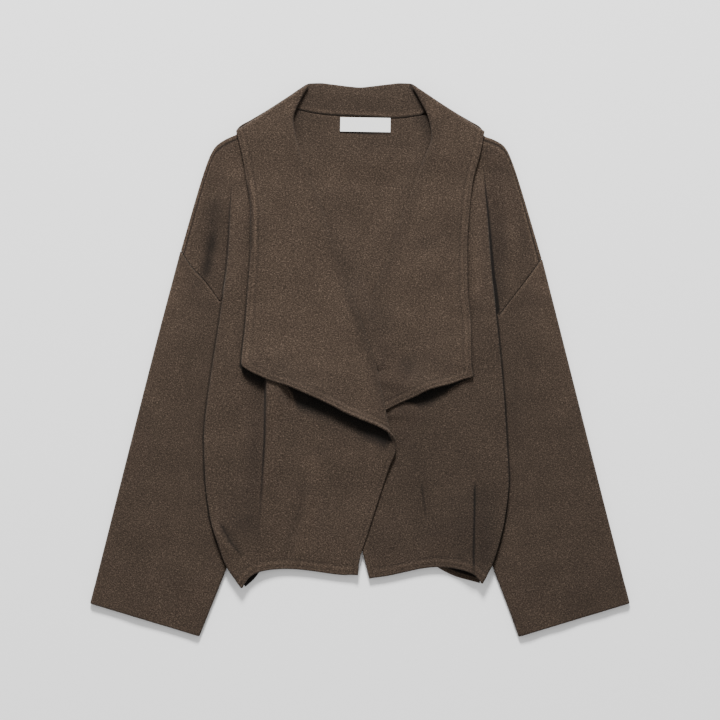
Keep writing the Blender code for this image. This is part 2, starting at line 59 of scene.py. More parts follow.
SIDE_FOLDS = {                 # (down, x, y) of the fold at each side of the body
    "right": (
        (0, -155, 280), (30, -158, 250), (70, -159.5, 212), (140, -163.5, 140), (175, -166.5, 106),
        (200, -170.3, 78), (230, -175.8, 40), (290, -184, -12), (340, -190.2, -56), (384, -193.8, -96),
        (430, -192.3, -146), (470, -186.4, -196), (500, -176.4, -230), (520, -166.6, -256.2),
        (542, -147, -284.6),
    ),
    "left": (
        (0, 156, 278), (30, 153.3, 250), (50, 154, 232), (70, 154.8, 216), (110, 158.1, 176),
        (160, 162.3, 124), (210, 168.3, 62), (240, 171.1, 36), (290, 175.8, -12), (340, 179.8, -60),
        (384, 182.5, -106), (430, 184.7, -152), (470, 180.2, -196), (500, 172.2, -231), (520, 164, -256),
        (542, 151.8, -279),
    ),
}
# outer, inner, hidden and cover are lines of (x, y); beside_body holds (y, strength of the painted shadow
# beside the body), and shades (half width, share of painted light gained, fade, line).  Each sleeve's
# tone is the share of light painted on it.
SLEEVES = {
    "right": dict(
        outer=((-223.5, 135), (-248.6, 40), (-292.2, -131), (-336, -304.6)),
        inner=((-89, -58), (-123, -135), (-167.5, -259), (-202, -345)),
        hidden=((-166, 58), (-157, 14), (-130, -16), (-89, -58)),
        cover=((-173, 52), (-84, -38)),
        beside_body=((-256, 0.46), (-235, 0.52), (-205, 0.78), (-150, 0.8), (-90, 0.7), (-30, 0.56)),
        cut=(0.357, 0.481), area=0.1245, tone=0.98,
        shades=(
            (26, -0.07, 20, ((-305, -225), (-275, -262))),
            (10, -0.20, 12, ((-206, 108), (-194, 88))),
            (42, 0.10, 30, ((-238, 95), (-262, 0), (-282, -70))),
            (15, 0.34, 14, ((-224, 124), (-238, 60))),
            (8, 0.16, 14, ((-243, 76), (-250, 42))),
            (14, 0.10, 20, ((-237, 70), (-250, 10))),
            (10, -0.05, 20, ((-196, -50), (-204, -130), (-202, -200))),
        ),
    ),
    "left": dict(
        outer=((226.7, 125), (245.8, 50), (296.4, -150), (335.8, -304.4)),
        inner=((91, -46), (125, -138), (166.8, -258), (187.3, -312), (199.6, -345.6)),
        hidden=((163, 42), (153, 14), (131, -11), (91, -46)),
        cover=((173, 36), (88, -36)),
        beside_body=((-256, 0.52), (-235, 0.58), (-200, 0.7), (-100, 0.76), (-60, 0.82), (40, 0.82)),
        cut=(0.357, 0.472), area=0.1233, tone=0.92,
        shades=(
            (22, -0.10, 15, ((322, -262), (318, -292))),
            (40, 0.10, 30, ((238, 105), (262, 0), (280, -70))),
            (16, 0.34, 10, ((216, 126), (222, 108), (234, 76))),
            (18, 0.12, 20, ((232, 80), (250, 10))),
            (10, -0.10, 25, ((189, 0), (197, -90), (199, -130))),
            (10, 0.13, 14, ((192, -205), (185, -256))),
            (45, -0.08, 20, ((335, -270), (240, -320))),
        ),
    ),
}
CUFF_DEPTH = 22.0


def spread(*parts):
    """Numbers in order: single ones, and (start, end, count) runs of even steps."""
    return np.concatenate([np.linspace(*part) if isinstance(part, tuple) else [part] for part in parts])


SLEEVE_ROWS = spread(0, 0.0003, 0.001, 0.002, 0.004, 0.007, (0.012, 0.94, 130), (0.945, 0.99, 22),
                     0.993, 0.996, 0.998, 0.9992, 0.9998, 1)   # shares of the way to the cuff
SLEEVE_TURN = ((2.6, 0.0), (1.5, 0.12), (0.9, 0.35), (0.3, 1.0), (0.0, 2.0), (0.3, 3.0), (0.9, 3.65),
               (1.5, 3.88), (2.6, 4.0))        # (inset, height) round a flat tube's fold
SLEEVE_PLACES = {"top": 110, "under": 36}      # across each side of the tube
SLEEVE_PUFF = 1.6              # how far the tube's top swells where nothing lies on it
SEWN_AWAY = 0.15               # the sleeve's end lies this far beyond the armhole
STITCH_WIDTH, STITCH_HEIGHT = 1.7 * MM, 1.25 * MM
STITCH_WANDER = 2.2 * MM       # how far the rows of stitches stray
KNIT_COLOURS = (               # (speckle, colour) from the darkest yarn to the palest
    (0.43, (0.0070, 0.0041, 0.0025, 1)), (0.635, (0.0336, 0.0225, 0.0153, 1)),
    (0.85, (0.136, 0.0965, 0.070, 1)),
)
# Linking beside a finished edge is a raised chain and a low lip between grooves: the chain and the lip
# take a painted highlight, the grooves painted shade, and seams are dark lines.  Creases take painted
# shade.  Each line is (millimetres from the edge, seam or crease, reach, strength).
CHAIN, LIP = (6.2, 2.5), (1.3, 1.5, 0.3)
INNER_GROOVE, OUTER_GROOVE, SEAM_GROOVE = (3.4, 1.5, 0.22), (10.0, 2.4, 0.30), (0.0, 1.3)
CREASE_SHADE = (0.0, 2.6, 0.9)
GAP_SHADE = (-1.0, 1.1, 0.0, 0.9)      # from 1 mm outside a gap to 1.1 mm inside, the light it takes
GROOVE_SHADE, CHAIN_LIGHT = 0.62, 0.20
INNER_TONE = 1.17              # the knit's inner face is a little paler than its outer one
BAND_SWELL = 0.3               # an edge's band is thicker than the cloth by this share
# What the knit reads at each point of a wall: millimetres from a finished edge, a seam and a crease,
# the strength of the painted shade, and millimetres inside a painted shadow.
NO_MARKS = dict(edge=FAR, seam=FAR, crease=FAR, depth=1.0, shadow=-FAR)


def connect(tree, made, inputs):
    """Links or sets a node's inputs."""
    for key, value in dict(inputs).items():
        if isinstance(value, bpy.types.NodeSocket):
            tree.links.new(value, made.inputs[key])
        else:
            made.inputs[key].default_value = value
    return made


def node(tree, kind, inputs=(), **settings):
    """Adds a node, sets its properties, and links or sets its inputs."""
    made = tree.nodes.new(kind)
    for key, value in settings.items():
        setattr(made, key, value)
    return connect(tree, made, inputs)


def math_node(tree, operation, *values):
    """Output of a Math node of two values."""
    return node(tree, "ShaderNodeMath", dict(enumerate(values)), operation=operation).outputs[0]


def vector_node(tree, operation, inputs):
    """Output of a Vector Math node."""
    return node(tree, "ShaderNodeVectorMath", inputs, operation=operation).outputs[0]


def new_material(name):
    """A new material, its node tree and its shader."""
    material = bpy.data.materials.new(name)
    material.use_nodes = True
    return material, material.node_tree, material.node_tree.nodes["Principled BSDF"]


def knit_group():
    """Heathered knit from a UV map in metres and a wall's marks: its colour, with the painted light and shade
    that the marks carry, and its height.
    """
    tree = bpy.data.node_groups.new("heathered_knit", "ShaderNodeTree")
    tree.interface.new_socket("Colour", in_out="OUTPUT", socket_type="NodeSocketColor")
    tree.interface.new_socket("Height", in_out="OUTPUT", socket_type="NodeSocketFloat")
    calc, vector = partial(math_node, tree), partial(vector_node, tree)
    place = node(tree, "ShaderNodeUVMap", uv_map="knit").outputs[0]

    def noise(at, scale, detail, roughness):
        """A cloudy pattern, with so many clouds to the metre."""
        return node(tree, "ShaderNodeTexNoise",
                    {"Vector": at, "Scale": scale, "Detail": detail, "Roughness": roughness})

    def total(*terms):
        """Sum of (value, weight) pairs."""
        parts = [calc("MULTIPLY", value, weight) for value, weight in terms]
        for part in parts[1:]:
            parts[0] = calc("ADD", parts[0], part)
        return parts[0]

    def most(first, *others):
        """The strongest of several masks."""
        for other in others:
            first = calc("MAXIMUM", first, other)
        return first

    def mark(name):
        """A wall's mark at each point."""
        return node(tree, "ShaderNodeAttribute", attribute_name=name).outputs["Fac"]

    def smooth_range(value, *ends):
        """A value from one range softly mapped to another, both given by their ends."""
        return node(tree, "ShaderNodeMapRange", {0: value, **dict(enumerate(ends, 1))},
                    interpolation_type="SMOOTHSTEP").outputs[0]

    def near(name, centre, reach, strength=1.0):
        """A strength where a mark is near a value, falling softly to 0 at a reach from it."""
        gap = calc("ABSOLUTE", calc("SUBTRACT", mark(name), centre))
        return smooth_range(gap, 0.0, reach, strength, 0.0)

    # Waviness, so that the rows of stitches aren't ruled lines.
    wander = vector("SUBTRACT", {0: noise(place, 90.0, 1.0, 0.5).outputs["Color"], 1: (0.5, 0.5, 0.5)})
    bent = vector("ADD", {0: place, 1: vector("SCALE", {0: wander, "Scale": STITCH_WANDER})})
    split = node(tree, "ShaderNodeSeparateXYZ", {0: bent})
    across = calc("MULTIPLY", split.outputs[0], 1 / STITCH_WIDTH)
    down = calc("MULTIPLY", split.outputs[1], 1 / STITCH_HEIGHT)
    # Legs of the stitches: each column is a chain of V shapes.
    leg = calc("PINGPONG", across, 0.5)
    row = calc("PINGPONG", calc("ADD", down, calc("MULTIPLY", leg, 1.3)), 0.5)
    wale = calc("PINGPONG", calc("ADD", across, 0.25), 0.25)
    stitch = total((row, 1.0), (wale, 1.2))

    # Fibres: small flecks at two sizes, drawn out along the rows, and broad soft patches.
    flat = vector("MULTIPLY", {0: bent, 1: (0.8, 1.0, 1.0)})
    fleck = noise(flat, 700.0, 3.0, 0.75).outputs[0]
    hair = noise(flat, 1900.0, 2.0, 0.6).outputs[0]
    patches = noise(place, 24.0, 3.0, 0.6).outputs[0]
    speckle = total((fleck, 0.80), (hair, 0.28), (patches, 0.07), (stitch, 0.08))
    ramp = node(tree, "ShaderNodeValToRGB", {0: speckle})
    ramp.color_ramp.elements.new(0.5)
    for stop, (at, colour) in zip(ramp.color_ramp.elements, KNIT_COLOURS):
        stop.position, stop.color = at, colour

    # Linking and seams, with a painted highlight on the chain and painted shade in the grooves; painted
    # shade along creases and in the deep gaps under an edge.
    chain = most(near("edge", *CHAIN), near("edge", *LIP))
    grooves = most(near("edge", *INNER_GROOVE), near("edge", *OUTER_GROOVE), near("seam", *SEAM_GROOVE))
    depth = mark("depth")
    dark = most(calc("MULTIPLY", grooves, GROOVE_SHADE),
                calc("MULTIPLY", near("crease", *CREASE_SHADE), depth),
                calc("MULTIPLY", smooth_range(mark("shadow"), *GAP_SHADE), depth))
    # The tone mark brings each piece's painted light and shade.
    tone = calc("MULTIPLY", mark("tone"), calc("SUBTRACT", 1.0, dark))
    tone = calc("MULTIPLY", tone, calc("ADD", 1.0, calc("MULTIPLY", chain, CHAIN_LIGHT)))
    height = total((stitch, 0.22), (fleck, 0.55), (hair, 0.25), (grooves, -0.45), (chain, 0.35))
    node(tree, "NodeGroupOutput",
         {"Colour": vector("SCALE", {0: ramp.outputs[0], "Scale": tone}), "Height": height})
    return tree


def knit_material():
    """The cardigan's cloth: a rough, slightly fuzzy surface."""
    material, tree, shader = new_material("heather_knit")
    knitted = node(tree, "ShaderNodeGroup", node_tree=knit_group())
    bump = node(tree, "ShaderNodeBump",
                {"Height": knitted.outputs["Height"], "Distance": 0.9 * MM, "Strength": 0.8})
    connect(tree, shader, {
        "Base Color": knitted.outputs["Colour"], "Normal": bump.outputs[0], "Roughness": 0.94,
        "Specular IOR Level": 0.16, "Sheen Weight": 0.07, "Sheen Roughness": 0.6,
        "Sheen Tint": (0.75, 0.66, 0.58, 1)})
    return material


KNIT = knit_material()


def smooth_through(table, at):
    """Values of a table at the places asked for, on a cubic that never overshoots its rows."""
    rows = np.asarray(table, float)
    x, y = rows[:, 0], rows[:, 1:]
    step = np.diff(x)[:, None]
    slope = np.diff(y, axis=0) / step
    tangent = np.zeros_like(y)
    before, after = slope[:-1], slope[1:]
    wide, narrow = 2 * step[1:] + step[:-1], step[1:] + 2 * step[:-1]
    with np.errstate(divide="ignore", invalid="ignore"):
        mean = (wide + narrow) / (wide / before + narrow / after)
    tangent[1:-1] = np.where(before * after > 0, mean, 0.0)
    tangent[0], tangent[-1] = slope[0], slope[-1]
    at = np.clip(np.asarray(at, float), x[0], x[-1])
    i = np.clip(np.searchsorted(x, at, side="right") - 1, 0, len(x) - 2)
    h = (x[i + 1] - x[i])[..., None]
    u = (at - x[i])[..., None] / h
    return (y[i] * (1 + 2 * u) * (1 - u) ** 2 + tangent[i] * h * u * (1 - u) ** 2
            + y[i + 1] * u ** 2 * (3 - 2 * u) + tangent[i + 1] * h * u ** 2 * (u - 1))


def lengths_along(points, axis=0):
    """Distance from the first point, along one axis of a grid: the running sum of its steps."""
    points = np.moveaxis(np.asarray(points, float), axis, 0)
    steps = np.linalg.norm(np.diff(points, axis=0), axis=-1)
    total = np.concatenate([np.zeros((1,) + steps.shape[1:]), np.cumsum(steps, axis=0)])
    return np.moveaxis(total, 0, axis)


def along_outline(points, shares):
    """Points at given shares of an outline's length, on a smooth curve through it."""
    reach = lengths_along(points)
    return smooth_through(np.column_stack([reach, points]), np.asarray(shares) * reach[-1])


def straight_through(table, at):
    """Values of a table at the places asked for, on straight lines between its rows."""
    return np.interp(at, *np.array(table).T)


def stretch(table, above=-1.0, below=np.inf):
    """Places in a table of (down, x, y) that lie between two distances down."""
    return [row[1:] for row in table if above < row[0] < below]


def ease(value, start, end):
    """0 at start, 1 at end, level at both: three times the share's square less twice its cube."""
    u = np.clip((value - start) / (end - start), 0, 1)
    return u * u * (3 - 2 * u)


def hump(value, half_width):
    """A soft bell, 1 in the middle: e to the power of minus the square of value over half width."""
    return np.exp(-(value / half_width) ** 2)


def towards(start, end):
    """Unit steps from one row of places to another."""
    step = end - start
    return step / np.linalg.norm(step, axis=-1)[..., None]


def beside_line(x, y, line):
    """Distance of places from a bent line, positive on its left, how far along the line each one's
    nearest point is, and the line's length."""
    line = np.asarray(line, float)
    nearest, signed, along, passed = np.full(x.shape, 1e9), np.zeros(x.shape), np.zeros(x.shape), 0.0
    for (x0, y0), (x1, y1) in zip(line[:-1], line[1:]):
        length = np.hypot(x1 - x0, y1 - y0)
        if length == 0:
            continue
        share = np.clip(((x - x0) * (x1 - x0) + (y - y0) * (y1 - y0)) / length ** 2, 0, 1)
        gap = np.hypot(x - x0 - share * (x1 - x0), y - y0 - share * (y1 - y0))
        left = (x1 - x0) * (y - y0) - (y1 - y0) * (x - x0)
        closer = gap < nearest
        nearest = np.where(closer, gap, nearest)
        signed = np.where(closer, np.where(left < 0, -gap, gap), signed)
        along = np.where(closer, passed + share * length, along)
        passed += length
    return signed, along, passed


def side_of(x, y, line):
    """Distance from a bent line, positive on the left of its direction."""
    return beside_line(x, y, line)[0]


def to_line(x, y, line):
    """Distance from a bent line."""
    return np.abs(side_of(x, y, line))


def within(along, length, start_fade, end_fade):
    """1 along a line, falling softly to 0 at its two ends."""
    return ease(along, -1, start_fade) * ease(along, length + 1, length - end_fade)


def folds(x, y, table):
    """Soft humps along lines, each (half width, height, fade at the ends, line of points): the height of soft
    folds, and, in the shade tables, the share of painted light gained.
    """
    total = np.zeros_like(x)
    for half_width, height, fade, line in table:
        gap, along, length = beside_line(x, y, line)
        total = total + height * hump(gap, half_width) * within(along, length, fade, fade)
    return total


def uneven(x, y, wavelength, height, seed):
    """Gentle unevenness: a sum of plane waves of mixed directions and lengths."""
    rng = np.random.default_rng(seed)
    total = np.zeros_like(x)
    waves = 12
    for angle, stretch, phase in zip(rng.uniform(0, np.pi, waves), rng.uniform(0.7, 1.6, waves),
                                     rng.uniform(0, 2 * np.pi, waves)):
        k = 2 * np.pi / (wavelength * stretch)
        total = total + np.sin(k * (x * np.cos(angle) + y * np.sin(angle)) + phase)
    return total * height / np.sqrt(waves / 2)


def normals_of(middle, closed=False):
    """Unit normals of a grid of points."""
    if closed:
        across = np.roll(middle, -1, axis=1) - np.roll(middle, 1, axis=1)
    else:
        across = np.gradient(middle, axis=1)
    normal = np.cross(np.gradient(middle, axis=0), across)
    return normal / np.maximum(np.linalg.norm(normal, axis=-1), 1e-9)[..., None]


def patch(top, bottom, first, last, across, down):
    """Places between four edges: the blend of top and bottom and the blend of the two sides added,
    less the blend of the four corners."""
    s, t = across[None, :, None], down[:, None, None]
    return ((1 - t) * top[None] + t * bottom[None] + (1 - s) * first[:, None] + s * last[:, None]
            - (1 - t) * ((1 - s) * top[0] + s * top[-1]) - t * ((1 - s) * bottom[0] + s * bottom[-1]))


def at_height(places, height):
    """Points from a line of places and one height, or one for each of them."""
    return np.column_stack([places, np.broadcast_to(height, len(places))])


def put_in_scene(name, data):
    """A new object of a mesh, a light or a camera."""
    made = bpy.data.objects.new(name, data)
    bpy.context.scene.collection.objects.link(made)
    return made


def wall(name, middle, uv, band=0.0, shade=1.0, inner_up=False, closed=False, half=CLOTH / 2, material=KNIT,
         **marks):
    """A closed wall of cloth: the middle surface moved both ways along its normals by half the
    thickness, more in a band, which falls to nothing in a half round at open edges, where the sides
    share points.  Its marks tell the knit how far each point is from edges, seams, creases and painted
    shadows, and its tone carries the piece's painted light and shade."""
    rows, columns = middle.shape[:2]
    from_top = lengths_along(middle)
    edge_gap = np.minimum(from_top, from_top[-1] - from_top)
    inside = np.ones((rows, columns), bool)
    inside[[0, -1]] = False
    if not closed:
        from_side = lengths_along(middle, axis=1)
        edge_gap = np.minimum(edge_gap, np.minimum(from_side, from_side[:, -1:] - from_side))
        inside[:, [0, -1]] = False
    thick = half * (1 + BAND_SWELL * band) * np.ones((rows, columns))
    thick = thick * np.sqrt(np.clip(1 - (1 - np.clip(edge_gap / thick, 0, 1)) ** 2, 0, 1))
    normal = normals_of(middle, closed)
    upper, lower = middle + normal * thick[..., None], middle - normal * thick[..., None]
    points = np.concatenate([upper.reshape(-1, 3), lower[inside]])
    top = np.arange(rows * columns).reshape(rows, columns)
    bottom = top.copy()
    bottom[inside] = rows * columns + np.arange(inside.sum())
    if closed:
        top, bottom = [np.concatenate([index, index[:, :1]], axis=1) for index in (top, bottom)]

    def quads(index):
        """Corners of each square of a grid of indices."""
        return np.dstack([index[:-1, :-1], index[1:, :-1], index[1:, 1:], index[:-1, 1:]]).reshape(-1, 4)

    corners = quads(np.arange(uv.shape[0] * uv.shape[1]).reshape(uv.shape[:2]))
    faces = np.concatenate([quads(top), quads(bottom)[:, ::-1]])
    corner_uv = np.concatenate([corners, corners[:, ::-1]])
    a, b, c, d = (points[faces[:, k]] for k in range(4))
    volume = (a * (np.cross(b, c) + np.cross(c, d))).sum()
    if volume < 0:
        faces, corner_uv = faces[:, ::-1], corner_uv[:, ::-1]
    mesh = bpy.data.meshes.new(name)
    mesh.from_pydata((points * MM).tolist(), [], faces.tolist())
    mesh.shade_smooth()
    layer = mesh.uv_layers.new(name="knit")
    layer.uv.foreach_set("vector", (uv.reshape(-1, 2)[corner_uv.ravel()] * MM).ravel())
    sides = {key: [np.broadcast_to(value, inside.shape)] * 2 for key, value in {**NO_MARKS, **marks}.items()}
    # The tone mark: the painted light and shade, times the inner face's paler colour.
    tones = (INNER_TONE, 1.0) if inner_up else (1.0, INNER_TONE)
    sides["tone"] = [shade * np.where(inside, tone, sum(tones) / 2) for tone in tones]
    for key, (over, under) in sides.items():
        attribute = mesh.attributes.new(key, "FLOAT", "POINT")
        attribute.data.foreach_set("value", np.concatenate([over.ravel(), under[inside]]).astype(np.float32))
    mesh.materials.append(material)
    return put_in_scene(name, mesh)


def dress(piece, replaced):
    """Puts a piece in the place of its CAD node."""
    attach(piece, "root")
    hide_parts(replaced)


def inside_sleeve(x, y, side):
    """How far a place lies inside the part of a sleeve that the body covers."""
    def beyond(start, end):
        """Distance of places from the straight line through two points."""
        start, end = np.array(start, float), np.array(end, float)
        run = (end - start) / np.linalg.norm(end - start)
        return OUTWARD[side] * ((y - start[1]) * run[0] - (x - start[0]) * run[1])

    inner = SLEEVES[side]["inner"]
    return np.minimum(beyond(inner[0], inner[2]) + 3, beyond(*SLEEVES[side]["cover"]))


def sleeve(side):
    """A flat tube between an outer and an inner fold, from the armhole to the cuff."""
    lines, sign = SLEEVES[side], OUTWARD[side]
    outer, inner = along_outline(lines["outer"], SLEEVE_ROWS), along_outline(lines["inner"], SLEEVE_ROWS)
    armhole = ARMHOLES[side]
    away = np.array([0.6 * sign, -0.8]) * SEWN_AWAY
    sewn = smooth_through(armhole, np.linspace(0, armhole[-1][0], 30)) + away
    tucked = sewn[-1] + np.array([-0.6 * sign, 9.5])
    top_line = np.concatenate([sewn[:-2], [tucked], np.array(lines["hidden"], float)])

    def layer(count):
        """Places of one side of the tube, between its folds."""
        across = np.linspace(0, 1, count)
        top = along_outline(top_line, across)
        first, last = np.vstack([top[:1], outer[1:]]), np.vstack([top[-1:], inner[1:]])
        cuff = first[-1] + (last[-1] - first[-1]) * across[:, None]
        return patch(top, cuff, first, last, across, SLEEVE_ROWS)

    upper, under = layer(SLEEVE_PLACES["top"]), layer(SLEEVE_PLACES["under"])
    x, y = upper[..., 0], upper[..., 1]
    reach = np.minimum(*[np.linalg.norm(upper - edge, axis=-1) for edge in (upper[:, :1], upper[:, -1:])])
    puff = SLEEVE_PUFF * ease(-inside_sleeve(x, y, side), 8, 60) * ease(reach, 0, 38)
    puff = puff * ease(SLEEVE_ROWS, 0, 0.06)[:, None] + uneven(x, y, 60, 0.35, 5 + sign) * ease(reach, 0, 20)

    def fold(edge, into, turn):
        """Points round one fold of the tube."""
        return [at_height(edge + into * inset, height) for inset, height in turn]

    ring = fold(upper[:, 0], towards(upper[:, 0], upper[:, 3]), SLEEVE_TURN)
    ring += [at_height(upper[:, k], LAYER + puff[:, k]) for k in range(2, upper.shape[1] - 2)]
    ring += fold(upper[:, -1], towards(upper[:, -1], upper[:, -4]), SLEEVE_TURN[::-1])
    ring += [at_height(under[:, k], 0.0) for k in range(under.shape[1] - 2, 1, -1)]
    middle = np.stack(ring, axis=1)
    middle[..., 2] += FLOOR
    x, y = middle[..., 0], middle[..., 1]
    round_it = lengths_along(np.concatenate([middle, middle[:, :1]], axis=1), axis=1)
    down = lengths_along(middle)
    to_cuff = down[-1] - down
    uv = np.stack([round_it, 600 - np.concatenate([to_cuff, to_cuff[:, :1]], axis=1)], axis=-1)
    # Painted shadow beside the body's side fold, which lies on the tube's top.
    beside_body = to_line(x, y, stretch(SIDE_FOLDS[side], 195, 525))
    shadow = np.where(middle[..., 2] > FLOOR + 0.6 * LAYER, 3.5 - beside_body, -FAR)
    # Painted light and shade: the sleeve's tone and shades, and a painted highlight along the armhole.
    piece = wall("sleeve_" + side, middle, uv, closed=True, inner_up=side == "left", shadow=shadow,
                 band=0.5 * ease(to_cuff, CUFF_DEPTH + 1, CUFF_DEPTH - 1),
                 seam=np.where(down < 8, down + 0.2, FAR),
                 depth=straight_through(lines["beside_body"], y),
                 shade=lines["tone"] + folds(x, y, lines["shades"]) + 0.5 * hump(down - 2.2, 1.2))
    dress(piece, "sleeve_" + side)


sleeve("right")
sleeve("left")

# ---------------------------------------------------------------------------------------------
# The back.  One panel, lying on the surface and over the sleeves and the collar's fall; its
# inside shows below the collar, and its hem between and beside the fronts.
# ---------------------------------------------------------------------------------------------
SLEEVE_STACK = 7.2             # how far a sleeve lifts the body that lies on it
FALL_STACK = 3.2               # how far the collar's fall lifts what lies on it
NECK = (
    (-98, 313), (-88, 313.5), (-75, 311.6), (-60, 308.2), (-38, 305.4), (-15, 304.2), (15, 302.8),
    (40, 301.2), (54, 301.9), (68, 304), (80, 305.6), (92, 306.2),
)
BACK_HEM = (
    (-143.5, -283.4), (-133.6, -274.8), (-123, -262.5), (-100, -250), (-50, -232), (0, -225), (50, -235),
    (92, -256), (104, -263.2), (119, -270.2), (135.5, -275), (149.4, -278.6),
)
SHOULDER_LINES = {
    "right": (
        (-223, 136), (-213.5, 168), (-195.5, 220), (-189.6, 243.5), (-181.4, 260), (-169.6, 271.5),
        (-152, 279),
    ),
    "left": (
        (226.2, 126), (213, 170), (202.4, 200), (195.5, 222), (190, 243), (180.5, 261.5), (168, 273),
        (152, 278.5),
    ),
}
FALL_EDGE = (
    (-150, 273), (-135, 271), (-110, 268), (-84, 265), (-66, 263), (-52, 262), (-34, 261), (0, 260),
    (34, 261), (50, 262), (66, 263), (88, 265), (116, 268), (138, 271), (150, 273),
)
BACK_INSET = (                 # (down, how far the back's side lies inside the side fold)
    (240, 24), (266, 17), (300, 11.5), (340, 9.8), (400, 9.8), (450, 9.8), (490, 10.2), (516, 9.0),
    (530, 6.8),
)
BACK_ROWS = spread(0, 0.0002, 0.0006, 0.0012, 0.002, 0.003, 0.0045, (0.007, 0.42, 74), (0.43, 0.97, 44),
                   (0.973, 0.996, 10), 0.9975, 0.9988, 0.9996, 1)      # shares of the way to the hem
# The back's painted light: how much it keeps, before its shades.
BACK_LIGHT_SHARE = 0.95               # share of the light that the back's inside keeps
EDGE_TURN = 1.55               # how far a panel's edge turns up or down at the shoulder
# A painted shadow runs along this line under the label's lower edge.
LABEL_SHADOW_LINE = ((-24.4, 284.2), (37.6, 282.8))   # the gap under the label's lower edge
BACK_SHADES = (                # (half width, share of light gained, fade, line)
    (18, -0.11, 20, ((-75, 276), (0, 268), (78, 274))),
    (9, -0.10, 12, ((-84, 304), (-30, 299), (50, 296), (86, 300))),
    (16, 0.09, 20, ((-52, 238), (0, 234), (58, 238))),
    (14, -0.06, 20, ((-36, 205), (10, 195))),
    (20, -0.06, 20, ((-55, 165), (-15, 120))),
    (15, -0.10, 20, ((-18, 145), (4, 80))),
)
BESIDE_ROLLS = {               # (y, share of light lost) beside each roll, from the break up
    "right": (
        (-20, 0.14), (46, 0.16), (84, 0.16), (135, 0.14), (181, 0.07), (212, 0.05), (235, 0), (255, 0.04),
        (275, 0.2), (310, 0.3),
    ),
    "left": (
        (30, 0.0), (110, 0.02), (150, 0.03), (220, 0.06), (250, 0.15), (275, 0.32), (290, 0.44), (310, 0.5),
    ),
}
ROLLS = {                      # (down, x, y) of the line on which each lapel turns back
    "right": (
        (0, -64.5, 343), (15, -73, 329), (45, -84, 300), (68, -81, 279), (100, -72, 246), (120, -60, 225),
        (145, -50, 200), (180, -40, 162), (225, -21, 107), (262, -3, 60), (284, 7, 32), (310, 20, -8),
        (330, 27, -42), (348, 33, -72), (365, 36, -92), (384, 36, -111), (402, 31, -128), (450, 15, -172),
        (515, -7, -238), (542, -12, -268.4),
    ),
    "left": (
        (0, 65.5, 342.5), (15, 74.3, 327), (45, 86.9, 300), (68, 90.2, 279), (100, 80, 250), (120, 69, 225),
        (145, 59, 198), (180, 47, 165), (225, 31, 119), (262, 14, 76), (284, 3, 50), (310, -7, 10),
        (330, -15, -24), (348, -22, -60), (368, -28, -94), (380, -26, -110), (402, -20, -132),
        (450, -8, -174), (515, 13, -238.5), (542, 24, -271.2),
    ),
}
MEET_ROLL = 4.1                # how far the layer inside a roll swells up to meet it
MEET_REACH = 34.0              # how far from the roll that swell begins


def over_sleeves(x, y, start, end):
    """1 where the body lies over a sleeve, rising to it between two distances from its covered part."""
    return ease(inside_sleeve(x, y, "right"), start, end) + ease(inside_sleeve(x, y, "left"), start, end)


def over_fall(x, y):
    """1 where the back lies over the collar's fall."""
    return ease(y - straight_through(FALL_EDGE, x), -42, -3) * ease(np.abs(x), 185, 156)


def clear_of_left(x, y):
    """How far the right front rises where it crosses the left front and its lapel."""
    left = smooth_through([(-y_at, x_at) for x_at, y_at in stretch(ROLLS["left"], above=15)], -y)[..., 0]
    return (7.0 - 3.6 * ease(y, -118, -165)) * ease(x, left - 46, left - 12) * ease(y, 150, 70)


def meets(gap):
    """1 beside a roll, falling off away from it, and at once under it."""
    return ease(gap, MEET_REACH, 0.5) * ease(gap, -3.5, -0.5)


def swell_inside_rolls(x, y):
    """How far the back rises to meet both rolls, so that no deep groove runs beside them."""
    by_right, by_left = (meets(-OUTWARD[side] * side_of(x, y, stretch(ROLLS[side], 40, 320)))
                         for side in ("right", "left"))
    return np.maximum(by_right * (MEET_ROLL + clear_of_left(x, y)), by_left * MEET_ROLL) * ease(y, 285, 235)


def side_of_back(side, corner):
    """The back's side: the armhole, then inside the body's side fold, down to the hem's corner."""
    inset = np.array(BACK_INSET, float)
    lower = smooth_through(SIDE_FOLDS[side], inset[:, 0]) - inset[:, 1:] * np.array([OUTWARD[side], 0.0])
    return along_outline(stretch(ARMHOLES[side]) + list(lower) + [corner], BACK_ROWS)


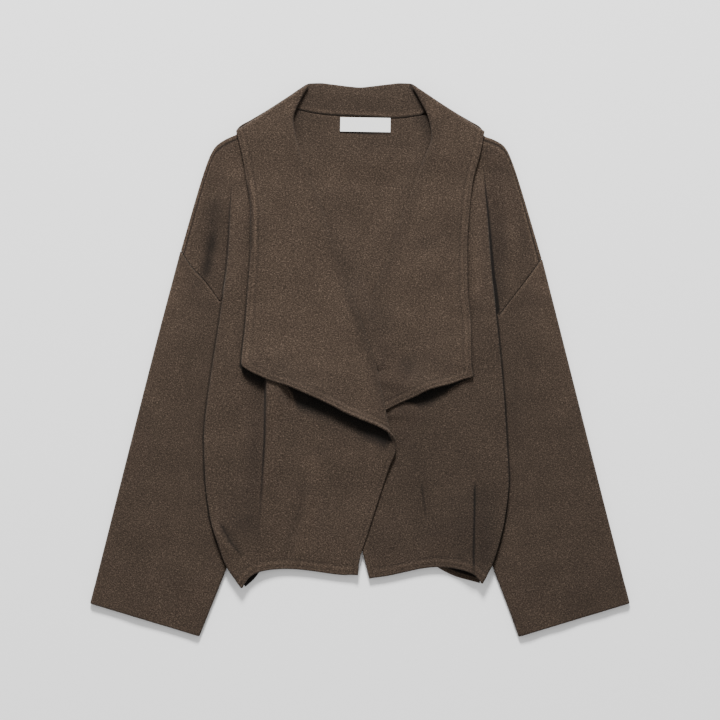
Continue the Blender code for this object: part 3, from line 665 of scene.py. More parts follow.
def back():
    """A sheet between the shoulders and neck, the sides and the hem."""
    shares = np.linspace(0, 1, 46)
    top = np.concatenate([along_outline(SHOULDER_LINES["right"] + NECK[:1], shares)[:-1],
                          along_outline(NECK, np.linspace(0, 1, 100)),
                          along_outline(NECK[-1:] + SHOULDER_LINES["left"][::-1], shares)[1:]])
    across = np.linspace(0, 1, len(top))
    plan = patch(top, along_outline(BACK_HEM, across), side_of_back("right", BACK_HEM[0]),
                 side_of_back("left", BACK_HEM[-1]), across, BACK_ROWS)
    x, y = plan[..., 0], plan[..., 1]
    from_top = lengths_along(plan)
    to_hem = from_top[-1] - from_top
    height = FLOOR + SLEEVE_STACK * over_sleeves(x, y, -22, -8) + FALL_STACK * over_fall(x, y)
    height = height + EDGE_TURN * ease(from_top, 2.8, 0) * ease(np.abs(top[:, 0] + 3), 97, 106)
    height = height + np.abs(uneven(x, y, 70, 0.3, 11)) * ease(y, -150, 0) + swell_inside_rolls(x, y)
    # Painted light and shade on the back, and painted shade beside both rolls.
    shade = BACK_LIGHT_SHARE + folds(x, y, BACK_SHADES)
    for side, lost in BESIDE_ROLLS.items():
        beside = -OUTWARD[side] * side_of(x, y, stretch(ROLLS[side], below=330))
        shade = shade - straight_through(lost, y) * hump(beside - 1, 13) * (beside > -6)
    # Painted shadow deep in the hem's corners, between the fronts and the back, and under the label.
    shadow = np.where(x < -100, 4.0, np.where(x > 90, to_hem - 5.8, -FAR))
    shadow = np.where(to_hem < 30, shadow, 1.3 - to_line(x, y, LABEL_SHADOW_LINE))
    piece = wall("back", np.dstack([plan, height]), np.dstack([x + 500, 700 - y]), inner_up=True,
                 band=ease(to_hem, 6.6, 5.6), edge=to_hem, shadow=shadow, shade=shade)
    dress(piece, "back")


back()

# ---------------------------------------------------------------------------------------------
# The fronts.  Each is one panel with its lapel grown on: it runs from the free edge over the
# roll, across the body to the side fold, and there over the shoulder or in to the side seam.
# ---------------------------------------------------------------------------------------------
BREAK = 372.0                  # down to where the lapel ends and the free edge begins
HEM = 542.0                    # down to the hem
# edge and shoulder hold (down, x, y), and shades (half width, share of painted light gained, fade, line).
# The rest hold a value by the way down, or by the share across (bow), x (width of the painted shadow under
# the lapel) or y (painted shade on the roll, strength of the painted shadow beside the lapel).  tone, strip
# and by_seam are painted shares of light, roll_width is the reach of the painted shade on the roll, and the
# other widths and strengths beside the lapel and the side fold are those of painted shadow and shade.
FRONTS = {
    "left": dict(
        edge=(
            (0, 155.3, 284), (20, 151.3, 262), (60, 141, 222), (95, 137, 188), (145, 134, 138),
            (195, 134.4, 88), (240, 138.6, 40), (284, 139.2, -6), (296, 141, -20.8), (301, 130, -23.6),
            (306, 119, -28), (311, 107, -31.4), (318, 88, -36.2), (326, 68, -46), (334, 46, -55.6),
            (348, 15, -72.6), (358, -6, -84), (368, -26, -96), (378, -36, -108), (402, -30, -134),
            (450, -18, -176), (490, -6, -212), (515, 2, -236), (526, 6.5, -253), (542, 11.5, -273),
        ),
        cut=(0.330, 0.622), area=0.1437, rests_on=("back", "sleeve_left"),
        shoulder=(
            (0, 187, 260), (8, 187.5, 252), (60, 189, 208), (120, 190, 148), (180, 180, 82), (210, 168.3, 55),
        ),
        armhole_end=208.0,
        bow=(
            (0, 0), (0.12, 2.9), (0.22, 6.8), (0.33, 11.1), (0.445, 15.2), (0.55, 18.9), (0.64, 18.6),
            (0.75, 17.2), (0.86, 15.2), (0.945, 10.6), (1, 0),
        ),
        stand=0.0, corner_y=-21.0, shadow_beside_lapel=2.2,
        lapel_shadow_strength=((0, 0.3), (30, 0.14), (150, 0.12), (200, 0), (250, 0)),
        fold_shadow_strength=0.95, shade_by_fold=0.34, strip=0.4,
        strip_width=((0, 5.2), (45, 4.2), (75, 2.6)),
        by_seam=0.5, tone=0.92,
        on_roll=(
            (0, 0.2), (76, 0.2), (119, 0.16), (198, 0.12), (250, 0.14), (275, 0.17), (300, 0.22), (328, 0.22),
            (345, 0),
        ),
        roll_width=11,
        beside_fold=(
            (0, 0), (30, 0), (52, 1.4), (75, 2.5), (100, 3.4), (165, 4.6), (190, 6.0), (210, 6.2), (225, 3),
        ),
        shadow_under_lapel=(
            (33, 0.5), (50, 1.6), (55, 2.2), (60, 3.2), (65, 5.6), (70, 9.8), (75, 13.8), (81, 15.2),
            (87.5, 16.8), (94, 15), (100, 12.8), (106, 10), (112, 6), (119, 3.6), (125, 2.6), (136, 1.6),
            (146, 0),
        ),
        body_shades=(
            (14, -0.16, 15, ((152, -150), (157, -220), (152, -262))),
            (20, -0.12, 25, ((166, -150), (160, -240))),
            (9, -0.10, 20, ((141, -150), (140, -170), (139, -195))),
            (14, -0.13, 14, ((112, -165), (122, -190))),
            (10, -0.10, 12, ((54, -195), (64, -212))),
            (7, 0.2, 20, ((144, 215), (145, 150), (149, 75))),
            (7, -0.07, 20, ((66, -95), (75, -135), (78, -157), (83, -192))),
            (30, -0.08, 25, ((60, -200), (110, -215), (140, -215))),
            (12, -0.15, 20, ((130, -180), (131, -225), (131, -264))),
            (24, -0.07, 25, ((132, -100), (134, -150))),
            (10, 0.12, 20, ((158, 248), (151, 222), (154, 160), (160, 80), (166, 30))),
            (9, 0.22, 12, ((160, 262), (150, 240), (146, 205))),
            (20, 0.10, 20, ((186, 232), (192, 205), (203, 140))),
            (13, 0.24, 12, ((165, 263), (176, 240))),
            (8, -0.12, 15, ((198, 180), (206, 140))),
            (5, 0.22, 8, ((136, -14), (144, -22))),
            (6, -0.12, 25, ((173, 196), (175, 140), (178, 70))),
            (6, 0.14, 20, ((189, 182), (191, 110), (191, 74))),
            (8, 0.26, 25, ((141, 160), (143, 100), (145, 62))),
            (7, -0.22, 8, ((150, -258), (153, -272))),
            (12, 0.06, 20, ((38, -135), (18, -215))),
            (9, 0.14, 10, ((38, -62), (46, -92))),
            (15, -0.18, 12, ((150, -222), (158, -262))),
            (10, -0.08, 25, ((172, 215), (176, 180), (180, 140), (184, 105))),
        ),
        lapel_shades=(
            (34, -0.07, 25, ((120, 60), (115, 20), (60, 5))),
            (15, -0.13, 20, ((130, -8), (95, -16), (55, -32))),
            (14, -0.20, 10, ((20, 68), (32, 56), (38, 30))),
            (20, -0.14, 12, ((48, -8), (64, -16), (88, -16))),
            (26, -0.08, 14, ((45, 40), (70, 15), (100, 10))),
            (18, -0.28, 16, ((78, 160), (84, 130))),
            (16, -0.28, 12, ((44, 0), (72, -14))),
            (14, -0.10, 14, ((100, -2), (112, 6))),
            (14, -0.10, 14, ((58, 78), (66, 66))),
            (26, -0.09, 25, ((130, 208), (128, 120))),
            (6, 0.34, 12, ((84, 328), (90, 312), (98, 296))),
            (8, -0.08, 15, ((133, 238), (133, 192))),
        ),
        lift=(
            (0, 0.8), (60, 1.0), (240, 1.2), (284, 1.0), (296, 0.2), (301, 0.4), (306, 2.2), (312, 5.6),
            (318, 6.6), (322, 4.8), (326, 2.0), (330, 0.4), (336, 0.0), (542, 0.0),
        ),
    ),
    "right": dict(
        edge=(
            (0, -154.5, 285), (20, -148.5, 262), (60, -141.5, 222), (95, -136.8, 188), (145, -136.6, 138),
            (195, -140, 88), (240, -143.4, 40), (284, -147.8, -5.5), (290, -139, -13), (296, -128, -18.5),
            (304, -112, -25.4), (314, -91, -31.9), (324, -67, -42), (334, -38, -55.2), (342, -18, -65.6),
            (348, 0, -73), (358, 26, -83.5), (365, 38, -91), (373, 44.5, -101), (384, 44.3, -113),
            (402, 38, -130), (450, 22.7, -176), (490, 10, -216), (515, 2, -240), (526, -0.5, -250),
            (542, -2.5, -268.8),
        ),
        cut=(0.360, 0.628), area=0.1528, rests_on=("back", "sleeve_right", "front_left"),
        shoulder=(
            (0, -187.8, 258.8), (8, -186.5, 252), (60, -181, 215), (120, -181, 155), (180, -177, 96),
            (200, -170, 71),
        ),
        armhole_end=196.0,
        bow=(
            (0, 0), (0.12, 1.1), (0.3, 8.8), (0.42, 13.1), (0.52, 16.1), (0.62, 17.9), (0.72, 19.3),
            (0.84, 20.4), (0.93, 14.6), (1, 0),
        ),
        stand=7.0, corner_y=-6.0, shadow_beside_lapel=2.4,
        lapel_shadow_strength=((0, 0.75), (60, 0.62), (100, 0.48), (200, 0.3), (260, 0.05)),
        fold_shadow_strength=0.58, shade_by_fold=0.2, strip=0.35,
        strip_width=((0, 6.4), (40, 6.0), (75, 3.2)),
        by_seam=0.25, tone=1.07,
        on_roll=(
            (-115, 0.1), (-60, 0.2), (-25, 0.22), (12, 0.26), (46, 0.33), (84, 0.32), (107, 0.22),
            (140, 0.16), (212, 0.15), (250, 0.1), (265, 0.04), (300, 0.03), (325, 0.14), (345, 0),
        ),
        roll_width=7,
        beside_fold=((0, 0), (50, 0), (90, 2.6), (130, 3.2), (170, 3.3), (200, 3.6), (215, 3.4)),
        shadow_under_lapel=(
            (-45, 0), (-37, 9.6), (-31, 17.0), (-25, 20), (-10, 20.2), (0, 17.6), (12, 15.0), (37, 15.0),
            (50, 17.2), (61, 18.4), (69, 20.4), (76, 20.6), (79, 19), (83, 11.6), (88, 2.8), (92, 0.8),
            (101, 0.6), (106, 0.6), (116.6, 0.8), (118, 12.6), (122, 13.4), (131, 12.6), (136, 12.4),
            (142, 11), (150, 4),
        ),
        body_shades=(
            (11, -0.26, 30, ((-127, -20), (-128, -90), (-132, -150), (-137, -232))),
            (20, -0.12, 25, ((-150, -90), (-158, -150), (-154, -225))),
            (18, -0.13, 16, ((-152, -185), (-154, -232))),
            (13, -0.13, 14, ((-118, -205), (-116, -232))),
            (11, -0.20, 14, ((-84, -50), (-66, -61), (-40, -76), (-4, -93), (18, -103))),
            (15, -0.13, 14, ((-50, -98), (-44, -122))),
            (13, -0.08, 14, ((-22, -185), (-16, -198))),
            (12, 0.06, 12, ((-78, -232), (-76, -250))),
            (8, -0.12, 20, ((-148, 60), (-150, 0))),
            (11, 0.27, 14, ((-63, -114), (-62, -162))),
            (4, 0.14, 14, ((-183, -205), (-171, -229), (-157, -244))),
            (8, 0.16, 20, ((-107, -36), (-109, -100), (-113, -160))),
            (4, -0.10, 12, ((-82.5, -56), (-82.5, -118))),
            (8, -0.17, 25, ((-64, -125), (-66, -150), (-73, -178), (-80, -203), (-90, -230), (-94, -255))),
            (8, 0.12, 25, ((-46, -120), (-50, -150), (-57, -178), (-64, -205), (-72, -232), (-76, -258))),
            (6, -0.34, 14, ((-177, -200), (-163, -223), (-144, -244))),
            (9, -0.34, 25, ((-182, 215), (-183, 170), (-185, 150), (-190, 122), (-196, 94))),
            (10, -0.16, 14, ((-191, 132), (-188, 104), (-183, 84))),
            (24, -0.07, 20, ((-186, 215), (-196, 130))),
            (6, -0.30, 14, ((-186, 160), (-190, 122), (-196, 96))),
            (7, 0.12, 12, ((-203, 128), (-212, 118))),
            (12, 0.22, 10, ((-170, 262), (-158, 252), (-151, 222))),
            (10, -0.08, 20, ((-155, 238), (-150, 190))),
            (5, -0.20, 14, ((-181, 168), (-182, 128))),
            (16, -0.09, 15, ((-146, -222), (-120, -244))),
            (14, -0.11, 20, ((-154, -150), (-150, -222))),
            (9, 0.10, 30, ((-153, 215), (-152, 140), (-158, 60), (-166, 0))),
        ),
        lapel_shades=(
            (22, -0.17, 20, ((-142, 12), (-95, -16), (-45, -34), (0, -52))),
            (14, -0.09, 25, ((-130, 205), (-130, 110))),
            (16, -0.10, 16, ((-110, 2), (-88, -14))),
            (6, 0.26, 12, ((-83, 330), (-87, 316), (-92, 302))),
        ),
        lift=(
            (0, 0.8), (60, 1.0), (240, 1.2), (270, 3.0), (284, 7.0), (300, 9.0), (345, 9.0), (358, 6.0),
            (366, 2.0), (372, 0.0), (542, 0.0),
        ),
    ),
}
LAPEL_RISE = 3.6
LAPEL_SHARES = (1.0, 0.88, 0.66, 0.44, 0.24, 0.09, 0.0)
LAPEL_SINKS = (0.0, 0.0, 0.0, 0.1, 0.5, 1.2, 2.0)
FRONT_SHARES = (0.0, 0.08, 0.27, 0.48, 0.70)
BODY_SINKS = (0.9, 0.5, 0.0, 0.0, 0.0, 0.0, 0.0, 0.0)
FOLD_APPROACH = (14.0, 5.0, 0.0)
# Past the side fold: share of the way to the armhole, step kept, drop and inset where it hangs, inset
# and drop where it turns in below, and inset of the pleat over the armhole.
PAST_FOLD = (
    (0.02, 0.62, 1.8, 0.0, 0.3, 0.45, 0.4),
    (0.08, 0.20, 3.4, 0.3, 2.6, 0.93, 1.0),
    (0.15, 0.00, 4.4, 0.5, 4.0, 1.00, 0.9),
    (0.30, 0.00, 5.2, 0.5, 5.2, 1.00, 0.2),
    (0.50, 0.00, 5.9, 0.5, 6.4, 1.00, 0.0),
    (0.75, 0.00, 6.3, 0.5, 7.5, 1.00, 0.0),
    (1.00, 0.00, 6.6, 0.5, 8.6, 1.00, 0.0),
)
TOP_CURL = ((0, 1.0), (0.12, 0.55), (0.8, 0.17), (2.8, 0.0), (600, 0.0))
SHOULDER_ROUNDING = 3.6
OVERHANG = 4.0                 # how far the side fold hangs over the armhole's pleat
# Places along a row, in the spans of its spline: the roll lies near 5.5 and the side fold near 13.5.
FRONT_PLACES = np.concatenate([
    [0, .0015, .004, .009, .018, .035, .06, .1, .15, .22, .3, .4, .5, .6, .7, .8, .9],
    np.arange(1.0, 4.0, 0.1), np.arange(4.0, 6.5, 0.06), np.arange(6.5, 12.0, 0.075),
    np.arange(12.0, 14.6, 0.07), np.arange(14.6, 18.6, 0.2),
    [18.7, 18.8, 18.88, 18.93, 18.96, 18.98, 18.992, 18.998, 19.0]])
LAPEL_END, ROLL_END, SEAM_START, PAST_SIDE = 5.6, 7.0, 11.5, 13.6
BAND_WIDTH = 7.2
HEM_BAND, HEM_LINKING = 0.72, 0.82     # the hem's band and linking are wider than the free edge's
FREE_EDGE_LINE = 6.0           # from the free edge below the break to its faint groove
ROLL_SHADE_INSET = 2.6


def spline_weights(controls, samples):
    """Weights of a clamped uniform cubic B-spline, a row for each sample from 0 to 1."""
    spans = controls - 3
    knots = np.concatenate([[0.0] * 3, np.linspace(0, 1, spans + 1), [1.0] * 3])
    samples = np.clip(samples, 0, 1 - 1e-12)[:, None]
    weights = ((samples >= knots[:-1]) & (samples < knots[1:])).astype(float)
    for degree in (1, 2, 3):
        lower, upper = knots[:-degree - 1], knots[degree + 1:]
        rise = np.diff(np.vstack([lower, knots[degree:-1]]), axis=0)[0]
        fall = upper - knots[1:-degree]
        up = np.divide(samples - lower, rise, out=np.zeros((len(samples), len(rise))), where=rise > 0)
        down = np.divide(upper - samples, fall, out=np.zeros((len(samples), len(fall))), where=fall > 0)
        weights = up * weights[:, :-1] + down * weights[:, 1:]
    return weights


def spline_surface(controls, places):
    """Rows of points on cubic splines, one for each row of controls, at places counted in spans."""
    weights = spline_weights(controls.shape[1], places / (controls.shape[1] - 3))
    return np.einsum("sc,rcd->rsd", weights, controls)


def meets_right_roll(x, y):
    """How far the left front and its lapel swell up beside the right front's roll."""
    beside = side_of(x, y, stretch(ROLLS["right"], 225, BREAK))
    return 3.5 * meets(beside) * ease(y, 75, 55) * ease(y, -118, -96)


def front_rows(end):
    """Distances down to a front's rows: close at the top, where the armhole ends, and at the hem."""
    return spread(0, 0.1, 0.3, 0.6, 1.0, 1.6, 2.4, 3.5, 5.0, (7, end - 12, 62), (end - 6, end + 9, 6),
                  (end + 12, 280, 22), (282, 400, 62), (403, 528, 36), (530, 539, 6),
                  540.2, 541, 541.5, 541.8, HEM)


def front_surface(side, down):
    """Middle surface of a front, before its creases: each row is a spline from the free edge over the
    lapel, the roll and the body to the side fold, and past it over the shoulder or in to the seam."""
    sizes, sign = FRONTS[side], OUTWARD[side]
    end = sizes["armhole_end"]
    edge_at, roll_at, fold_at, shoulder_at, armhole_at = [
        smooth_through(line, down) for line in
        (sizes["edge"], ROLLS[side], SIDE_FOLDS[side], sizes["shoulder"], ARMHOLES[side])]
    step = SLEEVE_STACK * ease(down, 30, end - 12) * ease(down, end + 70, end)
    raised = clear_of_left if side == "right" else meets_right_roll

    def layer(place):
        """Height of the front at a place, before its own turns."""
        x, y = place[..., 0], place[..., 1]
        from_fold = np.linalg.norm(place - fold_at[:, None], axis=-1)
        sleeve_rise = SLEEVE_STACK * over_sleeves(x, y, -52, -14)
        pleat_rise = step[:, None] * ease(from_fold, 62, 10)
        stack = FALL_STACK * over_fall(x, y) + np.maximum(sleeve_rise, pleat_rise)
        return FLOOR + LAYER + stack + raised(x, y)

    def between(start, end, shares):
        """Places at shares of the way between two lines."""
        return start[:, None] + (end - start)[:, None] * np.array(shares)[:, None]

    # The lapel.
    shares = np.array(LAPEL_SHARES)
    lapel = between(roll_at, edge_at, shares)
    stand = sizes["stand"] * hump(down - (BREAK - 5), 9)
    lift = smooth_through(sizes["lift"], down)
    sinks = (ease(down, 60, 110) * ease(down, BREAK, BREAK - 22))[:, None]
    curl = smooth_through(TOP_CURL, down)
    meets_collar = ease(lapel[..., 0] * sign, 74, 96)
    lapel_height = (layer(lapel) + LAPEL_RISE * ease(down, BREAK, BREAK - 26)[:, None]
                    + stand[:, None] * shares ** 1.5 + lift * shares ** 3
                    - curl * (2.2 + LAPEL_RISE * meets_collar) - sinks * np.array(LAPEL_SINKS))

    # The body, from the roll to the side fold.
    approach = fold_at[:, None] + towards(fold_at, roll_at)[:, None] * np.array(FOLD_APPROACH)[:, None]
    body = np.concatenate([between(roll_at, fold_at, FRONT_SHARES), approach], axis=1)
    bow = smooth_through(sizes["bow"], FRONT_SHARES + (0.90, 0.965, 1.0))[:, 0]
    body[..., 1] += bow * ease(down, 440, HEM)[:, None]
    body_height = layer(body) - sinks * np.array(BODY_SINKS)
    inward = towards(fold_at, body[:, -3])[:, None]

    # Past the fold: over the shoulder to the armhole above, turned in to the side seam below.
    share, kept_step, drop, hang_inset, turn_inset, turn_drop, pleat_inset = np.array(PAST_FOLD).T
    top = body_height[:, -1:]
    rounding = np.array([0.5 * sign, 0.87]) * (SHOULDER_ROUNDING * ease(down, 30, 0))[:, None]
    path = np.stack([fold_at, (fold_at + shoulder_at) / 2 + rounding, shoulder_at,
                     (shoulder_at + armhole_at) / 2, armhole_at], axis=1)
    stops = np.linspace(0, 1, 5)
    across = np.stack([[np.interp(share, stops, row[:, k]) for k in (0, 1)] for row in path]).swapaxes(1, 2)
    level = FLOOR + FALL_STACK * over_fall(across[..., 0], across[..., 1]) + LAYER
    across_height = level * (1 - kept_step) + np.maximum(top, level) * kept_step
    overhang = OVERHANG * ease(down, 60, 130) * ease(down, end, end - 40)
    across = across + inward * (pleat_inset * overhang[:, None])[..., None]
    flap = turn_inset[None] * (0.25 + 0.75 * ease(down, HEM, HEM - 37))[:, None]
    turned = fold_at[:, None] + inward * flap[..., None]
    hang = fold_at[:, None] + inward * hang_inset[:, None]
    below, hanging = ease(down, end - 6, end + 9)[:, None], hump(down - end, 4)[:, None]
    past = across * (1 - below[..., None]) + turned * below[..., None]
    past = past * (1 - hanging[..., None]) + hang * hanging[..., None]
    past_height = across_height * (1 - below) + (top - LAYER * turn_drop) * below
    past_height = past_height * (1 - hanging) + (top - drop) * hanging
    body_height -= curl * EDGE_TURN * ease(body[..., 0] * sign, 84, 104)
    past_height -= curl * EDGE_TURN
    controls = np.dstack([np.concatenate([lapel, body, past], axis=1),
                          np.concatenate([lapel_height, body_height, past_height], axis=1)])
    return spline_surface(controls, FRONT_PLACES)


def front(side, relief, creases):
    """A front with its lapel: its surface, its soft folds, its painted light and shade, and the marks of its
    edges, seams, creases and painted shadows in its gaps.
    """
    sizes, sign = FRONTS[side], OUTWARD[side]
    end = sizes["armhole_end"]
    rows = front_rows(end)
    middle = front_surface(side, rows)
    down, along = rows[:, None], FRONT_PLACES[None]
    x, y = middle[..., 0], middle[..., 1]
    lapel_share = np.clip(6.0 - along, 0, 1) * np.ones(x.shape)
    to_edge = np.where((along < LAPEL_END) | (down > BREAK - 6), to_line(x, y, middle[::2, 0, :2]), 10 * FAR)
    to_hem = np.where((along > 3) & (down > 450), to_line(x, y, middle[-1, ::3, :2]), 10 * FAR)
    near_edge = np.minimum(to_edge, to_hem * HEM_BAND)
    middle[..., 2] += uneven(x, y, 75, 0.35, 21 + sign) * ease(near_edge, 0, 12)
    middle[..., 2] += relief(x, y) * (1 - lapel_share)

    # Painted soft light and shade on the lapel, the body, and beside the rolls.
    shade = ((sizes["tone"] + folds(x, y, sizes["body_shades"])) * (1 - lapel_share)
             + (1 + folds(x, y, sizes["lapel_shades"])) * lapel_share)
    roll_line = np.array(stretch(ROLLS[side], below=400)) + [sign * ROLL_SHADE_INSET, 0.0]
    on_roll = straight_through(sizes["on_roll"], y) * (along < ROLL_END)
    shade = shade - on_roll * hump(to_line(x, y, roll_line), sizes["roll_width"])
    if side == "left":
        beside = side_of(x, y, stretch(ROLLS["right"], 200, 400))
        inner_shade = 0.08 * hump(beside - 2, 9) + 0.15 * hump(beside - 13, 17)
        shade = shade - inner_shade * ease(y, 80, 55) * ease(y, -90, -30)

    crease, depth = np.full(x.shape, FAR), np.ones(x.shape)
    for line, strength, start_fade, end_fade in creases:
        signed, reach, length = beside_line(x, y, line)
        signed = np.where(lapel_share > 0.3, FAR, signed)
        nearer = np.abs(signed) < np.abs(crease)
        crease = np.where(nearer, signed, crease)
        depth = np.where(nearer, strength * within(reach, length, start_fade, end_fade), depth)

    # The painted shadow in the gap beside and under the lapel.
    above_corner = y > sizes["corner_y"]
    beside = sign * side_of(x, y, middle[rows < BREAK, 0, :2][::2])
    width = np.where(above_corner, sizes["shadow_beside_lapel"] * ease(down, 15, 60),
                     straight_through(sizes["shadow_under_lapel"], x * sign))
    softness = np.where(above_corner, 1.0, 1 - 0.7 * ease(width, 2, 9) - 0.17 * ease(width, 9, 13))
    on_body = ((along > 6) | ((down > BREAK - 10) & (along > 1.5))) & (down < 470) & (beside > -2)
    shadow = np.where(on_body, (width - np.abs(beside)) * softness, -FAR)
    # The painted shadow and shade on the shoulder beside the side fold.
    past_fold = (along > PAST_SIDE) & (down < end + 12)
    beside_fold = to_line(x, y, stretch(SIDE_FOLDS[side], below=end + 11))
    on_shoulder = straight_through(sizes["beside_fold"], down) - beside_fold
    shadow = np.where(past_fold, np.maximum(shadow, on_shoulder), shadow)
    at_side = (y > sizes["corner_y"] + 3) & (shadow > -3)
    depth = np.where(at_side, straight_through(sizes["lapel_shadow_strength"], y), depth)
    depth = np.where(past_fold, sizes["fold_shadow_strength"], depth)
    shade = shade - past_fold * sizes["shade_by_fold"] * hump(beside_fold, 9) * ease(down, 60, 130)

    # The shoulder seam runs just inside the outline; the strip beyond it belongs to the back.  The strip and
    # a band beside the seam take painted light, and the seam a dark line.
    near_seam = along > SEAM_START
    beyond_strip = lengths_along(middle) - straight_through(sizes["strip_width"], down)
    by_strip = sizes["strip"] * ease(beyond_strip, -0.4, -1.4) - 0.2 * hump(beyond_strip, 1.1)
    shade = shade + near_seam * (by_strip + sizes["by_seam"] * hump(beyond_strip - 3, 3.2))
    # The free edge below the break is a single cloth, without the lapel's linking.
    single = ease(down, 380, 400)
    below_break = np.minimum(to_edge + FAR * (1 - single), to_hem + 2)
    seam = np.where(below_break < FAR / 2, np.abs(to_edge - FREE_EDGE_LINE) * 0.4 + 0.75,
                    np.where(near_seam, beyond_strip * 0.5, FAR))
    # Painted light on the bands by the free edge below the break and by the hem, painted shade along the
    # lapels' lower edges, almost gone at the very edge, and on the right lapel's side edge a painted dark
    # line at the edge with a painted highlight just inside it.
    shade = shade + 0.07 * ease(np.minimum(below_break, to_hem * HEM_LINKING), 6.8, 5.2)
    lower_edge = ease(down, 280, 290) * ease(down, BREAK, BREAK - 6)
    shade = shade - lower_edge * (0.12 * ease(to_edge, 10, 6) - 0.10 * ease(to_edge, 2.8, 1.8))
    if side == "right":
        side_edge = ease(y, 128, 150) * ease(y, 232, 215) * (along < 3)
        shade = shade + side_edge * (0.3 * hump(to_edge - 5.2, 1.5) - 0.42 * ease(to_edge, 3.0, 2.0))

    rise = 0.7 * middle[..., 2]
    uv = np.dstack([x + rise + 400 + 800 * (along > 5), 400 - y + rise])
    piece = wall("front_" + side, middle, uv, band=ease(near_edge, BAND_WIDTH + 0.6, BAND_WIDTH - 0.6),
                 edge=np.minimum(to_edge + FAR * single, to_hem * HEM_LINKING), seam=seam, crease=crease,
                 depth=depth, shadow=shadow, shade=shade, inner_up=side == "right")
    dress(piece, "front_" + side)


def step_beside(x, y, line, rise, steepness, reach, level=0.0):
    """A pleat: the cloth steps up at a line, on its left, stays level a while and sinks back beyond."""
    gap = side_of(x, y, line)
    return rise * ease(gap, -steepness, steepness) * ease(gap, reach, steepness + level)


RIGHT_PLEAT = ((-117.5, 10), (-117.5, -30), (-117.5, -50), (-118.7, -100), (-122, -150), (-124, -180),
               (-129, -240))
RIGHT_CORNER = ((-177, -198), (-172, -208), (-162.5, -226), (-151, -240), (-145, -245))
RIGHT_SOFT = (                 # (half width, height, fade, line)
    (7.0, 1.9, 30, ((-54, -120), (-56, -150), (-62, -178), (-69, -205), (-77, -232), (-80, -262))),
    (5.0, -0.8, 25, ((-62, -125), (-63, -150), (-70, -178), (-76, -203), (-84, -230), (-87, -255))),
    (4.0, -0.7, 12, ((-82.5, -66), (-82.5, -118))),
    (6.5, 2.2, 18, ((-184, -200), (-171, -227), (-152, -247))),
    (4.0, -0.9, 18, ((-177, -196), (-164.5, -220.5), (-146, -239))),
    (8.0, -1.9, 30, ((-182, 235), (-182.5, 202), (-182.5, 170), (-185, 150), (-189, 125), (-196, 100))),
    (7.0, 1.2, 20, ((-168, 250), (-167, 215), (-169, 170))),
    (20.0, -1.8, 50, ((-150, -40), (-152, -100), (-150, -170), (-142, -235))),
)
LEFT_CREASE = ((75.4, -145), (77, -157.5), (79, -172), (81.4, -187.5), (83, -196))
LEFT_PLEAT = ((141.5, -275), (141.5, -225), (142.3, -190), (142.8, -167.5), (143.5, -150))
LEFT_SOFT = (
    (7.0, 1.5, 25, ((66, -85), (71, -135), (73, -160), (75, -195))),
    (3.5, -0.8, 20, ((72, -100), (78, -135), (79.5, -157.5), (82, -182))),
    (8.0, -1.9, 25, ((166, 215), (170, 180), (174, 140), (177, 105))),
)


def right_relief(x, y):
    """The right front's pleat from under its lapel, and its soft folds."""
    rise = 0.6 + 3.6 * ease(y, -225, -80) + 4.6 * ease(y, -90, -42)
    by_edge = ease(y, -100, -45)
    pleat = step_beside(x, y, RIGHT_PLEAT, 1.0, 1.8, 34 - 2 * by_edge, 12 * by_edge)
    return pleat * rise * ease(y, 2, -26) * ease(y, -262, -205) + folds(x, y, RIGHT_SOFT)


def left_relief(x, y):
    """The left front's short crease, its long pleat beside the side, and a dip on the shoulder."""
    pleat = step_beside(x, y, LEFT_PLEAT, 2.4, 2.0, 40) * ease(y, -142, -178)
    return pleat + folds(x, y, LEFT_SOFT)


# Each crease is (line, strength of its painted shade, fade at its start, fade at its end).
front("left", left_relief, ((LEFT_CREASE, 0.55, 18, 12), (LEFT_PLEAT, 0.95, 30, 12)))
front("right", right_relief, ((RIGHT_PLEAT, 0.95, 12, 135), (RIGHT_CORNER, 0.6, 12, 12)))

# ---------------------------------------------------------------------------------------------
# The collar.  A band seamed to the neck, which stands, rolls over at the top and falls behind
# the back; along the lapels it narrows to a strip.
# ---------------------------------------------------------------------------------------------
COLLAR_TOP = (
    (-154.5, 285.5), (-149.5, 291.4), (-136.8, 298.7), (-124.5, 306), (-112, 313.6), (-99.5, 321.7),
    (-87, 329.8), (-75, 338), (-62.5, 344.6), (-50, 345), (-37.5, 343.7), (-12.5, 340.6), (0, 339.6),
    (12.5, 340.7), (37.5, 343.7), (50, 344.9), (62, 344.5), (74.5, 337.5), (87, 329.2), (99.5, 320.8),
    (112, 312.7), (124.5, 305), (137, 297.8), (149, 290.6), (154, 284.5),
)
STAND_ROWS = ((0, 0.0), (0.25, 0.45), (0.5, 0.8), (0.75, 1.0))         # (share of the stand, rise)
ROLL_ROWS = ((0.35, 0.72), (0.0, 0.45), (0.7, 0.15), (2.6, 0.0))       # (inset, share of the rise)
FALL_ROWS = (0.3, 0.65, 1.0)
STAND_RISE, STAND_END_RISE = 5.4, 4.4
# The collar's painted light and shade.
COLLAR_LIGHT_SHARE, COLLAR_SHADOW_STRENGTH = 0.77, 0.55           # share of the light it keeps, strength of the gap's shade
COLLAR_PLACES = spread(0, 0.01, 0.03, 0.06, 0.1, 0.15, (0.2, 7.7, 56), 7.85, 7.93, 7.97, 7.99, 8)


